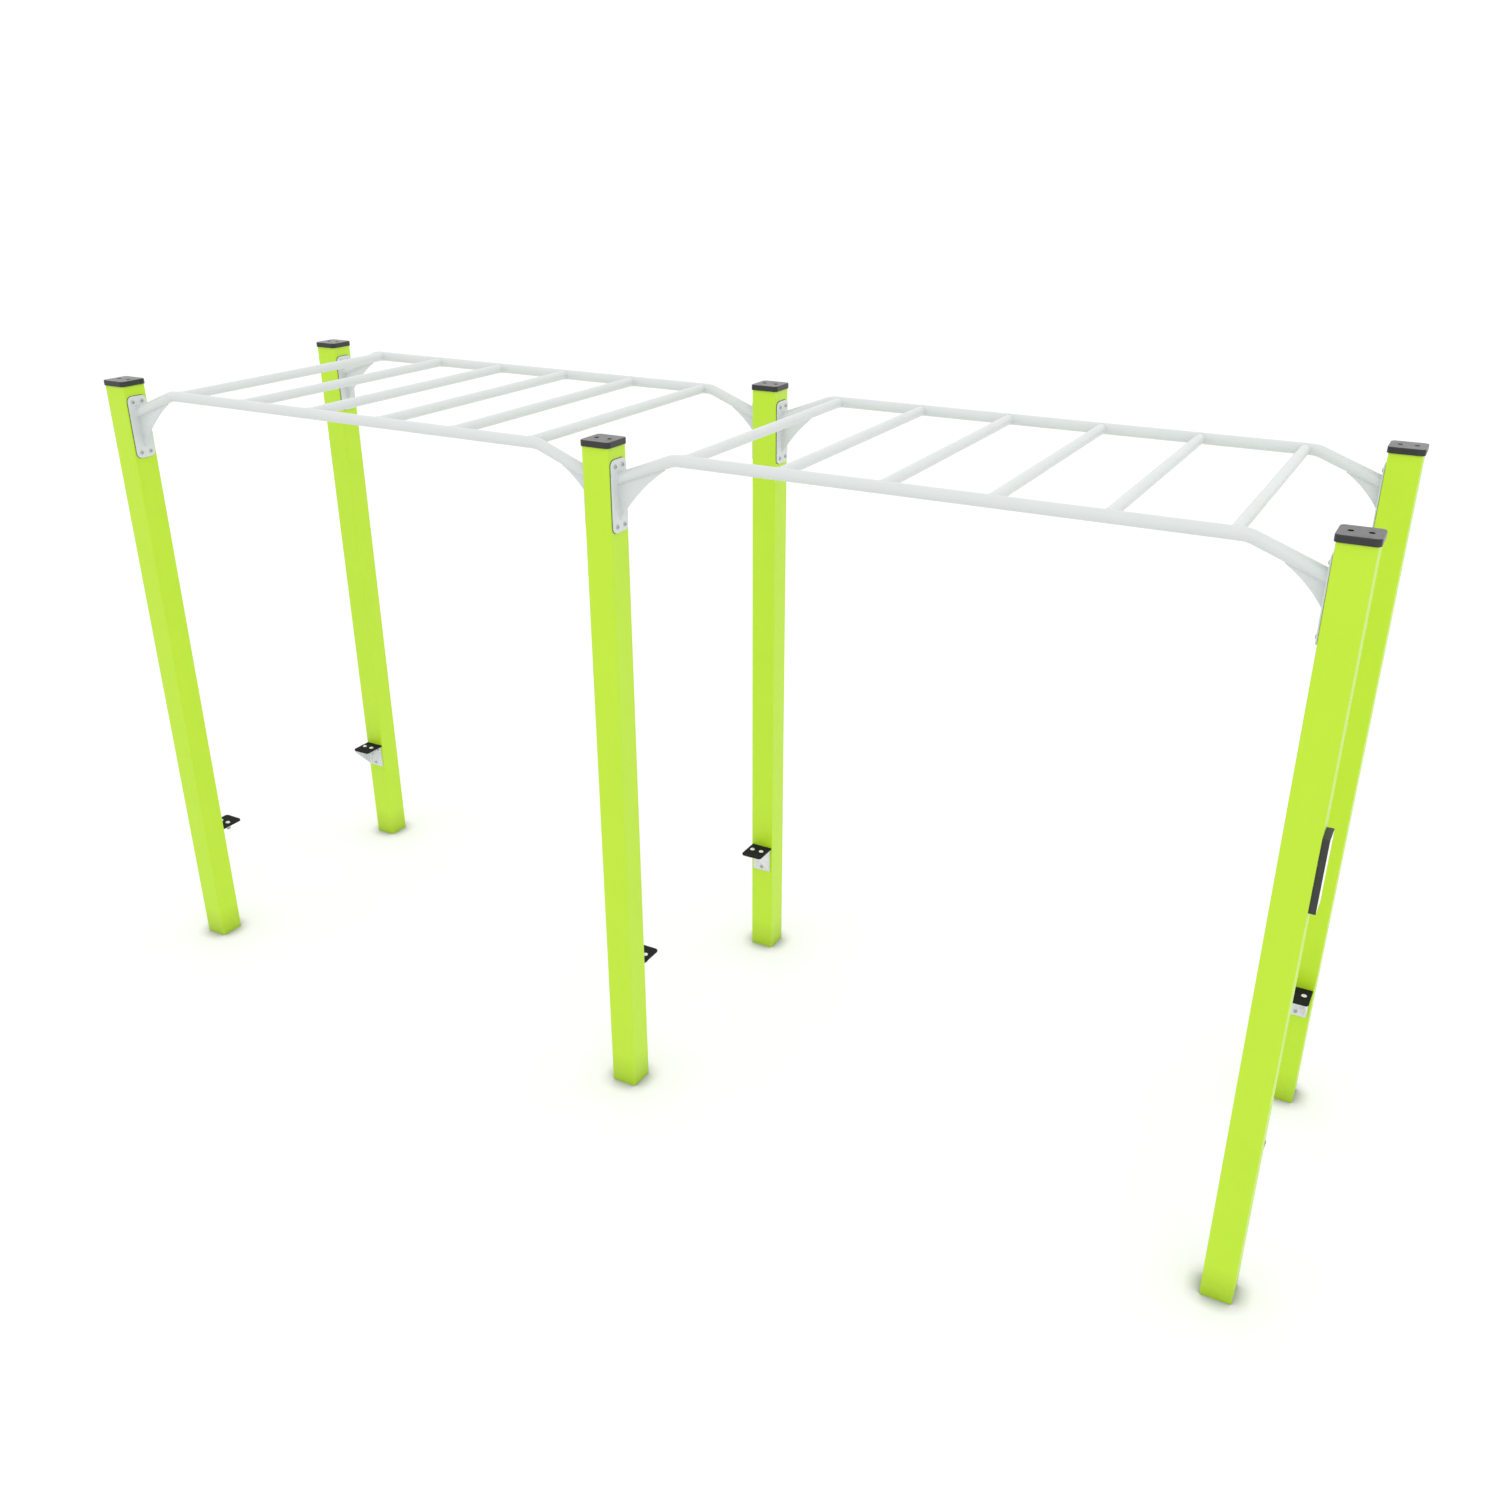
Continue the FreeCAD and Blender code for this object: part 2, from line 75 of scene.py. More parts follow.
posts = {(r, c): middle_and_size(f"post_{r}_{c}")[0] for r in ROWS for c in COLUMNS}
POST, _, POST_TOP = middle_and_size("post_front_left")[1]
HALF = POST / 2
CAP_W = middle_and_size("cap_front_left")[1][0]
CAP_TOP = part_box("cap_front_left")[1].z
COLLAR_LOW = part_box("cap_front_left")[0].z
RAIL_R = middle_and_size("rail_left_front")[1][1] / 2
RAIL_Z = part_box("rail_left_front")[1].z - RAIL_R
RUNG_R = middle_and_size("rung_left_1")[1][0] / 2
plate_middle, plate_size = middle_and_size("flange_plates_left_front")
PLATE_W = plate_size[1]
PLATE_H = plate_size[2]
PLATE_Z = plate_middle[2]
PLATE_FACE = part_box("rail_left_front")[0].x - posts["front", "left"][0]
BAY = posts["front", "middle"][0] - posts["front", "left"][0]
ROW = posts["back", "left"][1] - posts["front", "left"][1]
RAIL_SLOPE = math.radians(21.2)
RAIL_CORNER = 261 * MM
RAIL_BEND_R = 100 * MM
LEAD = 0.4 * MM
print("bay", round(BAY, 4), "row", round(ROW, 4), "rail height", round(RAIL_Z, 4))

# %% [markdown]
# ## From a grid of points to a closed piece
# A skin is an array of rings of points, and neighbouring rings are joined by quads. A ring
# whose points all lie on one spot closes the skin like the pole of a globe, and merging those
# points turns its quads into triangles. Writing the rings as whole arrays keeps the mesh even
# and needs no loop over points. A flat side gets one more ring a little way in from its edge,
# the lead, so that smooth shading stays on the rounded edge and the flat stays flat.

# %% Mesh helpers
SHARP = math.radians(38)


def ring_quads(rows, columns):
    """Quads between ring i and ring i + 1, with the last column joined to the first."""
    row = np.arange(rows - 1)[:, None] * columns
    here = np.arange(columns)[None, :]
    there = (here + 1) % columns
    quads = [row + here, row + there, row + columns + there, row + columns + here]
    return np.stack(quads, -1).reshape(-1, 4)


def skins_to_mesh(name, skins):
    """One mesh from arrays shaped (..., rings, points, 3), each array a set of skins."""
    points, faces, start = [], [], 0
    for skin in skins:
        rows, columns = skin.shape[-3:-1]
        flat = skin.reshape(-1, rows * columns, 3)
        offsets = start + np.arange(len(flat)) * rows * columns
        faces.append((ring_quads(rows, columns)[None] + offsets[:, None, None]).reshape(-1, 4))
        points.append(flat.reshape(-1, 3))
        start += len(points[-1])
    mesh = bpy.data.meshes.new(name)
    mesh.from_pydata(np.concatenate(points).tolist(), [], np.concatenate(faces).tolist())
    shell = bmesh.new()
    shell.from_mesh(mesh)
    bmesh.ops.remove_doubles(shell, verts=shell.verts, dist=1e-6)
    shell.to_mesh(mesh)
    shell.free()
    return mesh


def put(name, mesh, coat, stands_for=()):
    """Links a finished mesh as a piece of the object and gives it its coat."""
    mesh.shade_smooth()
    mesh.set_sharp_from_angle(angle=SHARP)
    mesh.materials.append(coat)
    piece = bpy.data.objects.new(name, mesh)
    bpy.context.scene.collection.objects.link(piece)
    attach(piece, "root")
    if stands_for:
        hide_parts(*stands_for)
    return piece


def place(points, at=(0, 0, 0), facing=1):
    """Points turned by half a turn about Z when facing is -1, then moved."""
    return points * np.array([facing, facing, 1]) + np.array(at)


def to_x(points):
    """What was drawn lying flat with its front up now has its front on +X."""
    return np.roll(points, 1, axis=-1)


def to_y(points):
    """What was drawn lying flat with its front up now has its front on +Y."""
    return np.roll(points, 2, axis=-1)


# %% [markdown]
# ## Rounded outlines and slabs
# Posts, caps, plates, treads and the sign are all a rounded rectangle carried through a
# thickness. A beveled cube would give the same shape, but here each of the four corner radii
# and each of the two rim radii is free, which the treads need: only their front is rounded.

# %% Outline and slab
RIM_STEPS = 5


def outline(width, depth, corners, inset=0.0, steps=7):
    """Ring of a rounded rectangle: at each corner a quarter circle about the corner's centre,
    with a lead point before and after it, and one point in the middle of each side."""
    turn = np.linspace(0, math.pi / 2, steps + 1)
    ring = []
    signs = [(1, 1), (-1, 1), (-1, -1), (1, -1)]
    for quarter, (sx, sy) in enumerate(signs):
        radius = corners[quarter]
        centre = np.array([sx * (width / 2 - radius), sy * (depth / 2 - radius)])
        arc = np.stack([np.cos(turn), np.sin(turn)], -1) * max(radius - inset, 1e-5)
        arc = np.concatenate([arc[:1] - [0, LEAD], arc, arc[-1:] - [LEAD, 0]])
        spin = quarter * math.pi / 2
        spun = arc @ np.array([[math.cos(spin), math.sin(spin)], [-math.sin(spin), math.cos(spin)]])
        side = [(width / 2 - inset, 0), (0, depth / 2 - inset)]
        side += [(inset - width / 2, 0), (0, inset - depth / 2)]
        ring.append(np.concatenate([np.array(side[quarter])[None], spun + centre]))
    return np.concatenate(ring)


def rim(edge, rising=True):
    """Insets and heights of a quarter circle of radius edge: inset = e(1 - sin t) and
    height = e(1 - cos t) while it rises from the flat, and the same read backwards."""
    turn = np.linspace(0, math.pi / 2, RIM_STEPS + 1)
    insets = np.concatenate([[edge + LEAD], edge * (1 - np.sin(turn)), [0]])
    heights = np.concatenate([[0], edge * (1 - np.cos(turn)), [edge + LEAD]])
    return (insets, heights) if rising else (insets[::-1], -heights[::-1])


def rings(width, depth, corners, insets, heights):
    """Skin of outlines, one for each pair of inset and height."""
    return np.stack([
        np.column_stack([flat := outline(width, depth, corners, i), np.full(len(flat), z)])
        for i, z in zip(insets, heights)
    ])


def pole(ring, at=None):
    """A ring shrunk to one spot, which closes a skin."""
    spot = ring.mean(0) if at is None else np.array(at)
    return np.broadcast_to(spot, ring.shape)[None]


def slab(width, depth, low, high, corners, low_edge, high_edge):
    """Closed block: pole, lower rim, side, upper rim, pole."""
    low_in, low_z = rim(low_edge)
    high_in, high_z = rim(high_edge, rising=False)
    insets = np.concatenate([low_in, high_in])
    heights = np.concatenate([low + low_z, high + high_z])
    body = rings(width, depth, corners, insets, heights)
    return np.concatenate([pole(body[0]), body, pole(body[-1])])


# %% [markdown]
# ## Powder coat
# The posts and ladders are steel tube with a baked powder coat. The powder melts into a skin
# with a soft orange-peel surface: shallow waves a few millimetres across under a much finer
# grain. Two noises of different size drive the bump, and a third, a hand's breadth wide,
# moves the colour and the roughness a little, as a sprayed film is never quite even. A plain
# glossy shader would look like plastic, so the waves do the work. They read Object
# coordinates, which here are metres, so their scale is real.


# %% Node helpers
def blank(name):
    """New material with its shader and a texture coordinate ready."""
    coat = bpy.data.materials.new(name)
    coat.use_nodes = True
    nodes, links = coat.node_tree.nodes, coat.node_tree.links
    return coat, nodes, links, nodes["Principled BSDF"], nodes.new("ShaderNodeTexCoord")


def noise(nodes, links, place_node, scale, detail=3.0, stretch=None):
    """Noise in object space, with waves about 1 / scale metres across."""
    cloud = nodes.new("ShaderNodeTexNoise")
    cloud.inputs["Scale"].default_value = scale
    cloud.inputs["Detail"].default_value = detail
    source = place_node.outputs["Object"]
    if stretch:
        mapping = nodes.new("ShaderNodeMapping")
        mapping.inputs["Scale"].default_value = stretch
        links.new(source, mapping.inputs["Vector"])
        source = mapping.outputs["Vector"]
    links.new(source, cloud.inputs["Vector"])
    return cloud.outputs["Fac"]


def remap(nodes, links, source, low, high, start=0.3, end=0.7):
    """A noise value stretched to run from low to high."""
    ranger = nodes.new("ShaderNodeMapRange")
    for key, value in (("From Min", start), ("From Max", end), ("To Min", low), ("To Max", high)):
        ranger.inputs[key].default_value = value
    links.new(source, ranger.inputs["Value"])
    return ranger.outputs["Result"]


def blend_colours(nodes, links, share, first, second):
    """Colour that runs from the first to the second as the share runs from 0 to 1."""
    mix = nodes.new("ShaderNodeMix")
    mix.data_type = "RGBA"
    for socket, value in ((mix.inputs[6], first), (mix.inputs[7], second)):
        if isinstance(value, tuple):
            socket.default_value = (*value, 1)
        else:
            links.new(value, socket)
    links.new(share, mix.inputs[0])
    return mix.outputs[2]


def bump(nodes, links, height, depth, under=None):
    """Bump of a given depth in metres, laid over another bump if there is one."""
    node = nodes.new("ShaderNodeBump")
    node.inputs["Strength"].default_value = 1.0
    node.inputs["Distance"].default_value = depth
    links.new(height, node.inputs["Height"])
    if under is not None:
        links.new(under, node.inputs["Normal"])
    return node.outputs["Normal"]


# %% Powder coat
def powder_coat(name, colour, tint, gloss, foot_shade=0.0):
    """Even colour drifting towards a tint, orange peel, and painted shade near the ground."""
    coat, nodes, links, shader, coordinates = blank(name)
    drift = remap(nodes, links, noise(nodes, links, coordinates, 9, 4), 0, 1)
    shade = blend_colours(nodes, links, drift, colour, tint)
    # Painted shade: the colour darkens towards the ground, broken up by a noise, standing in for the
    # shade at the foot of a post.
    if foot_shade:
        split = nodes.new("ShaderNodeSeparateXYZ")
        links.new(coordinates.outputs["Object"], split.inputs[0])
        low = remap(nodes, links, split.outputs["Z"], foot_shade, 0, 0.0, FOOT_SHADE_HEIGHT)
        cloud = remap(nodes, links, noise(nodes, links, coordinates, 60, 5), 0.75, 1)
        both = nodes.new("ShaderNodeMath")
        both.operation = "MULTIPLY"
        links.new(low, both.inputs[0])
        links.new(cloud, both.inputs[1])
        foot_shaded = tuple(FOOT_SHADE_FACTOR * part for part in colour)
        shade = blend_colours(nodes, links, both.outputs[0], shade, foot_shaded)
    links.new(shade, shader.inputs["Base Color"])
    film = noise(nodes, links, coordinates, 35, 3)
    links.new(remap(nodes, links, film, gloss - 0.04, gloss + 0.05), shader.inputs["Roughness"])
    peel = bump(nodes, links, noise(nodes, links, coordinates, 330, 2), 0.00011)
    grain = bump(nodes, links, noise(nodes, links, coordinates, 1500, 2), 0.00002, peel)
    links.new(grain, shader.inputs["Normal"])
    return coat


# Painted shade near the ground: how high it reaches and how much it darkens the coat.
FOOT_SHADE_HEIGHT = 0.13
FOOT_SHADE_FACTOR = 0.45
# The lime coat carries the painted shade near the ground; the pale coat has none.
lime_coat = powder_coat("lime_powder_coat", (0.443, 0.69, 0.011), (0.456, 0.702, 0.014), 0.40, 0.5)
pale_coat = powder_coat("pale_grey_powder_coat", (0.585, 0.618, 0.613), (0.6, 0.63, 0.625), 0.34)
print("powder coats", lime_coat.name, pale_coat.name)

# %% [markdown]
# ## Moulded plastics and rubber
# The caps and the sign's tray are moulded, with the fine spark-eroded grain of the mould. The
# treads are a rough black compound that hardly reflects. A grain can be a bump or real
# geometry: the mould grain is a few hundredths of a millimetre deep and stays a bump, while
# the treads' studs can be felt underfoot and are modelled further on. The inside of a cap's
# screw recess is rough and gets a near-black coat, darker than the cap: painted shade for
# the shade deep in the recess.


# %% Moulded finishes
def moulded(name, colour, scuffed, roughness, grain_scale, grain_depth, shine):
    """Plastic with mould grain, and scuffs that are paler and rougher."""
    coat, nodes, links, shader, coordinates = blank(name)
    scuff = remap(nodes, links, noise(nodes, links, coordinates, 42, 6), 0, 1, 0.52, 0.72)
    links.new(blend_colours(nodes, links, scuff, colour, scuffed), shader.inputs["Base Color"])
    links.new(remap(nodes, links, scuff, roughness, roughness + 0.09, 0, 1), shader.inputs["Roughness"])
    shader.inputs["Specular IOR Level"].default_value = shine
    grain = bump(nodes, links, noise(nodes, links, coordinates, grain_scale, 3), grain_depth)
    links.new(grain, shader.inputs["Normal"])
    return coat


cap_plastic = moulded(
    "charcoal_cap_plastic", (0.011, 0.012, 0.011), (0.018, 0.019, 0.018),
    0.30, 1100, 0.00003, 0.5)
tread_rubber = moulded(
    "black_tread_compound", (0.0105, 0.0115, 0.0108), (0.018, 0.019, 0.018),
    0.78, 700, 0.00016, 0.18)
tray_plastic = moulded(
    "charcoal_tray_plastic", (0.026, 0.026, 0.027), (0.036, 0.036, 0.037),
    0.48, 1200, 0.00003, 0.4)
panel_plastic = moulded(
    "white_panel", (0.90, 0.92, 0.85), (0.87, 0.89, 0.82), 0.42, 900, 0.00001, 0.5)
# Painted shade: a near-black, nearly unreflective coat for the inside of the cap recesses, darker than
# the cap.
recess_shade_coat = moulded(
    "rough_recess_painted_shade", (0.002, 0.002, 0.002), (0.003, 0.003, 0.003),
    0.9, 900, 0.00003, 0.04)
# Painted shade: the seal's dark grey draws the line of shade round each plate.
shade_line_seal = moulded(
    "grey_seal_painted_shade", (0.05, 0.055, 0.05), (0.06, 0.065, 0.06), 0.8, 900, 0.00005, 0.2)
print("moulded finishes", cap_plastic.name, tread_rubber.name)

# %% [markdown]
# ## Zinc
# Bolts are zinc plate, dull on the frame and bright on the treads, with a faint turned grain.
# The screws deep in the caps are blackened. The step brackets and the hidden nuts are dipped
# in zinc, which freezes into flat crystals, the spangle, and the brackets' welds are sprayed
# with it in a paler grey that is painted highlight, drawing a light upright line. A cell
# pattern gives each crystal its own slightly different grey and roughness, which a smooth
# noise can't do.


# %% Zinc finishes
def plated_zinc(name, colour, roughness, metal=0.85, shine=0.5):
    """Metal with fine scratches, which move the roughness and a shallow bump."""
    coat, nodes, links, shader, coordinates = blank(name)
    shader.inputs["Metallic"].default_value = metal
    shader.inputs["Specular IOR Level"].default_value = shine
    tone = remap(nodes, links, noise(nodes, links, coordinates, 120, 4), 0, 1)
    duller = tuple(0.86 * part for part in colour)
    links.new(blend_colours(nodes, links, tone, colour, duller), shader.inputs["Base Color"])
    scratch = noise(nodes, links, coordinates, 500, 4, (1, 1, 4))
    links.new(remap(nodes, links, scratch, roughness, roughness + 0.12), shader.inputs["Roughness"])
    links.new(bump(nodes, links, scratch, 0.00002), shader.inputs["Normal"])
    return coat


def dipped_zinc(name, bright, dull, metal, roughness):
    """Spangle: cells about 6 mm across, each with its own grey."""
    coat, nodes, links, shader, coordinates = blank(name)
    shader.inputs["Metallic"].default_value = metal
    cells = nodes.new("ShaderNodeTexVoronoi")
    cells.inputs["Scale"].default_value = 160
    links.new(coordinates.outputs["Object"], cells.inputs["Vector"])
    split = nodes.new("ShaderNodeSeparateColor")
    links.new(cells.outputs["Color"], split.inputs[0])
    links.new(blend_colours(nodes, links, split.outputs[0], bright, dull), shader.inputs["Base Color"])
    spread = remap(nodes, links, split.outputs[1], roughness, roughness + 0.14, 0, 1)
    links.new(spread, shader.inputs["Roughness"])
    skin = bump(nodes, links, noise(nodes, links, coordinates, 420, 3), 0.00006)
    links.new(skin, shader.inputs["Normal"])
    return coat


bright_zinc = plated_zinc("bright_zinc_plate", (0.80, 0.81, 0.80), 0.34, 0.5)
dull_zinc = plated_zinc("dull_zinc_plate", (0.46, 0.47, 0.48), 0.38)
blackened = plated_zinc("blackened_steel", (0.006, 0.006, 0.006), 0.75, 0.3, 0.1)
# Painted highlight: the welds' zinc is paler than the brackets' and draws a light upright line.
pale_weld_highlight_zinc = dipped_zinc("sprayed_weld_zinc_painted_highlight", (0.88, 0.89, 0.89), (0.82, 0.83, 0.83), 0.0, 0.5)
bracket_zinc = dipped_zinc("pale_dipped_bracket", (0.70, 0.72, 0.73), (0.60, 0.62, 0.63), 0.15, 0.42)
inner_zinc = dipped_zinc("inner_galvanising", (0.42, 0.43, 0.44), (0.33, 0.34, 0.35), 0.7, 0.45)
print("zinc finishes", bright_zinc.name, bracket_zinc.name)

# %% [markdown]
# ## Posts
# Each post is 100 mm square steel tube with tight 3 mm corners, open at both ends before it
# is capped. A box with a bevel would do from outside, but the wall is real here: the skin goes
# up the outside, over the rim, down the inside and back out, so the tube is hollow like the
# one it stands for.

# %% Posts
POST_CORNER = 3 * MM
POST_WALL = 4 * MM
SAW_EDGE = 0.5 * MM


def post_tube():
    """Rings up the outside at no inset, then down the inside at an inset of the wall."""
    edge_in, edge_z = rim(SAW_EDGE)
    insets = [*edge_in, *edge_in[::-1], POST_WALL, POST_WALL, edge_in[0]]
    heights = [*edge_z, *(POST_TOP - edge_z[::-1]), POST_TOP, 0, 0]
    return rings(POST, POST, [POST_CORNER] * 4, insets, heights)


tube = post_tube()
for (row, column), middle in posts.items():
    mesh = skins_to_mesh("post_tube", [place(tube, (middle[0], middle[1], 0))])
    put(f"post_tube_{row}_{column}", mesh, lime_coat, [f"post_{row}_{column}"])
print("posts", len(posts), "height", round(POST_TOP, 4))

# %% [markdown]
# ## Caps
# A moulded lid overhangs the post by 6 mm, with soft top edges and two deep round screw
# recesses. The recesses could be cut with a boolean, but that leaves a ragged mesh on the
# most visible face of the cap. Instead the top is two half panels. Each joins the rim of its
# recess to the outline of its half, point by point along lines from the recess's centre.

# %% Caps
CAP_CORNER = 15 * MM
CAP_EDGE = 3 * MM
CAP_LOW_EDGE = 1 * MM
COLLAR_PLAY = 0.3 * MM
COLLAR_WALL = 5 * MM
RECESS_X = 25 * MM
RECESS_R = 8.3 * MM
RECESS_DEPTH = 8 * MM
RECESS_SOFT = 0.4 * MM
SEAM_POINTS = 24


def recess_panel(edge, centre, floor_z):
    """Panel from an outline in to a round recess. A point of the recess lies on the line from
    the recess's centre to the outline's point: centre + r(cos a, sin a), with a that line's
    angle. Further rings round the mouth, go down the wall and close the floor."""
    top = edge[0, 2]
    angle = np.arctan2(edge[:, 1] - centre[1], edge[:, 0] - centre[0])
    around = np.column_stack([np.cos(angle), np.sin(angle), np.zeros(len(angle))])
    turn = np.linspace(0, math.pi / 2, 4)
    radii = [RECESS_R + RECESS_SOFT + LEAD, *(RECESS_R + RECESS_SOFT * (1 - np.sin(turn)))]
    drops = [0, *(RECESS_SOFT * (1 - np.cos(turn)))]
    radii += [RECESS_R, RECESS_R, 0]
    drops += [RECESS_SOFT + LEAD, top - floor_z, top - floor_z]
    spot = np.array([centre[0], centre[1], top])
    inner = [spot + around * r - [0, 0, d] for r, d in zip(radii, drops)]
    return np.stack([edge, *inner])


def cap_skins():
    """Underside and collar, sides and rims as rings, then two half panels for the top."""
    collar_in = (CAP_W - POST) / 2 + POST_WALL + COLLAR_PLAY
    low_in, low_z = rim(CAP_LOW_EDGE)
    high_in, high_z = rim(CAP_EDGE, rising=False)
    insets = [collar_in + COLLAR_WALL] * 2 + [collar_in] * 2 + [*low_in, *high_in]
    heights = [POST_TOP, COLLAR_LOW, COLLAR_LOW, POST_TOP]
    heights += [*(POST_TOP + low_z), *(CAP_TOP + high_z)]
    body = rings(CAP_W, CAP_W, [CAP_CORNER] * 4, insets, heights)
    body = np.concatenate([pole(body[0]), body])
    top = body[-1]
    count = len(top) // 4
    right = np.concatenate([top[3 * count:], top[:count + 1]])
    reach = np.linspace(right[-1, 1], right[0, 1], SEAM_POINTS + 2)[1:-1]
    seam = np.column_stack([np.zeros(SEAM_POINTS), reach, np.full(SEAM_POINTS, CAP_TOP)])
    half = np.concatenate([right, seam])
    panel = recess_panel(half, (RECESS_X, 0), CAP_TOP - RECESS_DEPTH)
    return [body, panel, place(panel, facing=-1)]


def paint_recess_shade(mesh, middle):
    """Gives the second material, the near-black painted shade, to the walls and floors of both
    recesses: the faces whose middles lie near the axis of a recess and between its mouth and its floor."""
    centres = np.empty(3 * len(mesh.polygons))
    mesh.polygons.foreach_get("center", centres)
    x, y, z = (centres.reshape(-1, 3) - [middle[0], middle[1], 0]).T
    near = np.hypot(np.abs(x) - RECESS_X, y) < RECESS_R + LEAD
    inside = near & (z < CAP_TOP - RECESS_SOFT) & (z > CAP_TOP - RECESS_DEPTH - LEAD)
    mesh.polygons.foreach_set("material_index", inside.astype(np.int32))


lid = cap_skins()
for (row, column), middle in posts.items():
    skins = [place(skin, (middle[0], middle[1], 0)) for skin in lid]
    mesh = skins_to_mesh("cap_lid", skins)
    put(f"cap_lid_{row}_{column}", mesh, cap_plastic, [f"cap_{row}_{column}"])
    # The recess walls and floors get the painted shade.
    mesh.materials.append(recess_shade_coat)
    paint_recess_shade(mesh, middle)
print("caps", len(posts), "points in one", len(mesh.vertices))

# %% [markdown]
# ## Rails
# A rail is one round tube, level in the middle and bent down to the posts at both ends. A
# curve object with a round bevel would sweep it, but its ends could only be cut square. Here
# rings are carried along straight, arc and straight stretches, and the last ring slides along
# the tube until every point of it lies on the plate.

# %% Rails
TUBE_POINTS = 48
BEND_STEPS = 12
angles = np.linspace(0, 2 * math.pi, TUBE_POINTS, endpoint=False)


def rail_line():
    """Half of the rail's line with x from the left post: points and slopes of the sloping run,
    of the bend about its centre, and of the middle of the level run."""
    trim = RAIL_BEND_R * math.tan(RAIL_SLOPE / 2)
    centre = np.array([RAIL_CORNER + trim, RAIL_Z - RAIL_BEND_R])
    slopes = np.linspace(RAIL_SLOPE, 0, BEND_STEPS + 1)
    bend = centre + RAIL_BEND_R * np.column_stack([-np.sin(slopes), np.cos(slopes)])
    back = bend[0] - (bend[0, 0] - PLATE_FACE) / math.cos(RAIL_SLOPE) * np.array(
        [math.cos(RAIL_SLOPE), math.sin(RAIL_SLOPE)])
    line = np.concatenate([back[None], bend, [[BAY / 2, RAIL_Z]]])
    return line, np.concatenate([[RAIL_SLOPE], slopes, [0.0]])


def rail_skin(radius):
    """Ring at each point of the line: point + r(cos a across + sin a up), where up is square
    to the line. The second half is the first one mirrored about the middle of the bay."""
    line, slopes = rail_line()
    x = line[:, :1] - radius * np.sin(angles) * np.sin(slopes)[:, None]
    z = line[:, 1:] + radius * np.sin(angles) * np.cos(slopes)[:, None]
    y = np.broadcast_to(-radius * np.cos(angles), x.shape)
    slide = PLATE_FACE - x[0]
    x[0] += slide
    z[0] += slide * math.tan(RAIL_SLOPE)
    near = np.stack([x, y, z], -1)
    far = near[-2::-1] * [-1, 1, 1] + [BAY, 0, 0]
    return np.concatenate([near, far])


def line_height(x):
    """Height of the sloping run's line at a distance from the post's middle."""
    return RAIL_Z - (RAIL_CORNER - x) * math.tan(RAIL_SLOPE)


rail = rail_skin(RAIL_R)
rail_closed = np.concatenate([pole(rail[0]), rail, pole(rail[-1])])
for bay in BAYS:
    for row in ROWS:
        start = posts[row, "left" if bay == "left" else "middle"]
        mesh = skins_to_mesh("rail_tube", [place(rail_closed, (start[0], start[1], 0))])
        put(f"rail_tube_{bay}_{row}", mesh, pale_coat, [f"rail_{bay}_{row}"])
print("rails 4, rings in one", len(rail_closed))

# %% [markdown]
# ## Rungs
# A rung is a smaller tube cut to a saddle at each end, so that it fits against the round
# side of the rail. The saddle needs no boolean. At an angle a round the rung, the rail's side
# is at a distance of sqrt(R^2 - (r sin a)^2) from the rail's line, so that is where the
# rung's last ring goes.

# %% Rungs
RUNGS = 6
CUT_BACK = 8 * MM


def saddle(radius, rail_radius):
    """How far each point of a rung's end stays from the rail's line."""
    return np.sqrt(rail_radius**2 - (radius * np.sin(angles)) ** 2)


def rung_skin():
    """Tube along Y with a saddle at both ends, closed at the rail's side."""
    reach = ROW / 2 - saddle(RUNG_R, RAIL_R)
    inner = np.full(TUBE_POINTS, ROW / 2 - RAIL_R - CUT_BACK)
    x, z = RUNG_R * np.cos(angles), RUNG_R * np.sin(angles)
    body = np.stack([np.column_stack([x, y, z]) for y in (reach, inner, -inner, -reach)])
    ends = [(0, ROW / 2 - RAIL_R, 0), (0, RAIL_R - ROW / 2, 0)]
    return np.concatenate([pole(body[0], ends[0]), body, pole(body[-1], ends[1])])


rung = rung_skin()
rung_places = {}
for bay in BAYS:
    for number in range(1, RUNGS + 1):
        middle = middle_and_size(f"rung_{bay}_{number}")[0]
        rung_places[bay, number] = middle
        mesh = skins_to_mesh("rung_tube", [place(rung, (middle[0], 0, RAIL_Z))])
        put(f"rung_tube_{bay}_{number}", mesh, pale_coat, [f"rung_{bay}_{number}"])
print("rungs", len(rung_places))

# %% [markdown]
# ## Welds
# Every rung is welded to the rails all round, and every rail and gusset to its plate. A weld
# bead is a row of small overlapping ripples left by the moving torch. It could be a bump on
# the tube, but a bead catches light along its whole length and softens the corner, so it is a
# tube of its own, whose radius swells and shrinks along the seam, and which the coat covers.

# %% Weld beads
BEAD_R = 2.2 * MM
BEAD_POINTS = 8
RIPPLE = 2.6 * MM
RIPPLE_DEPTH = 0.13
SADDLE_STEPS = 144
SADDLE_LEAN = 0.6


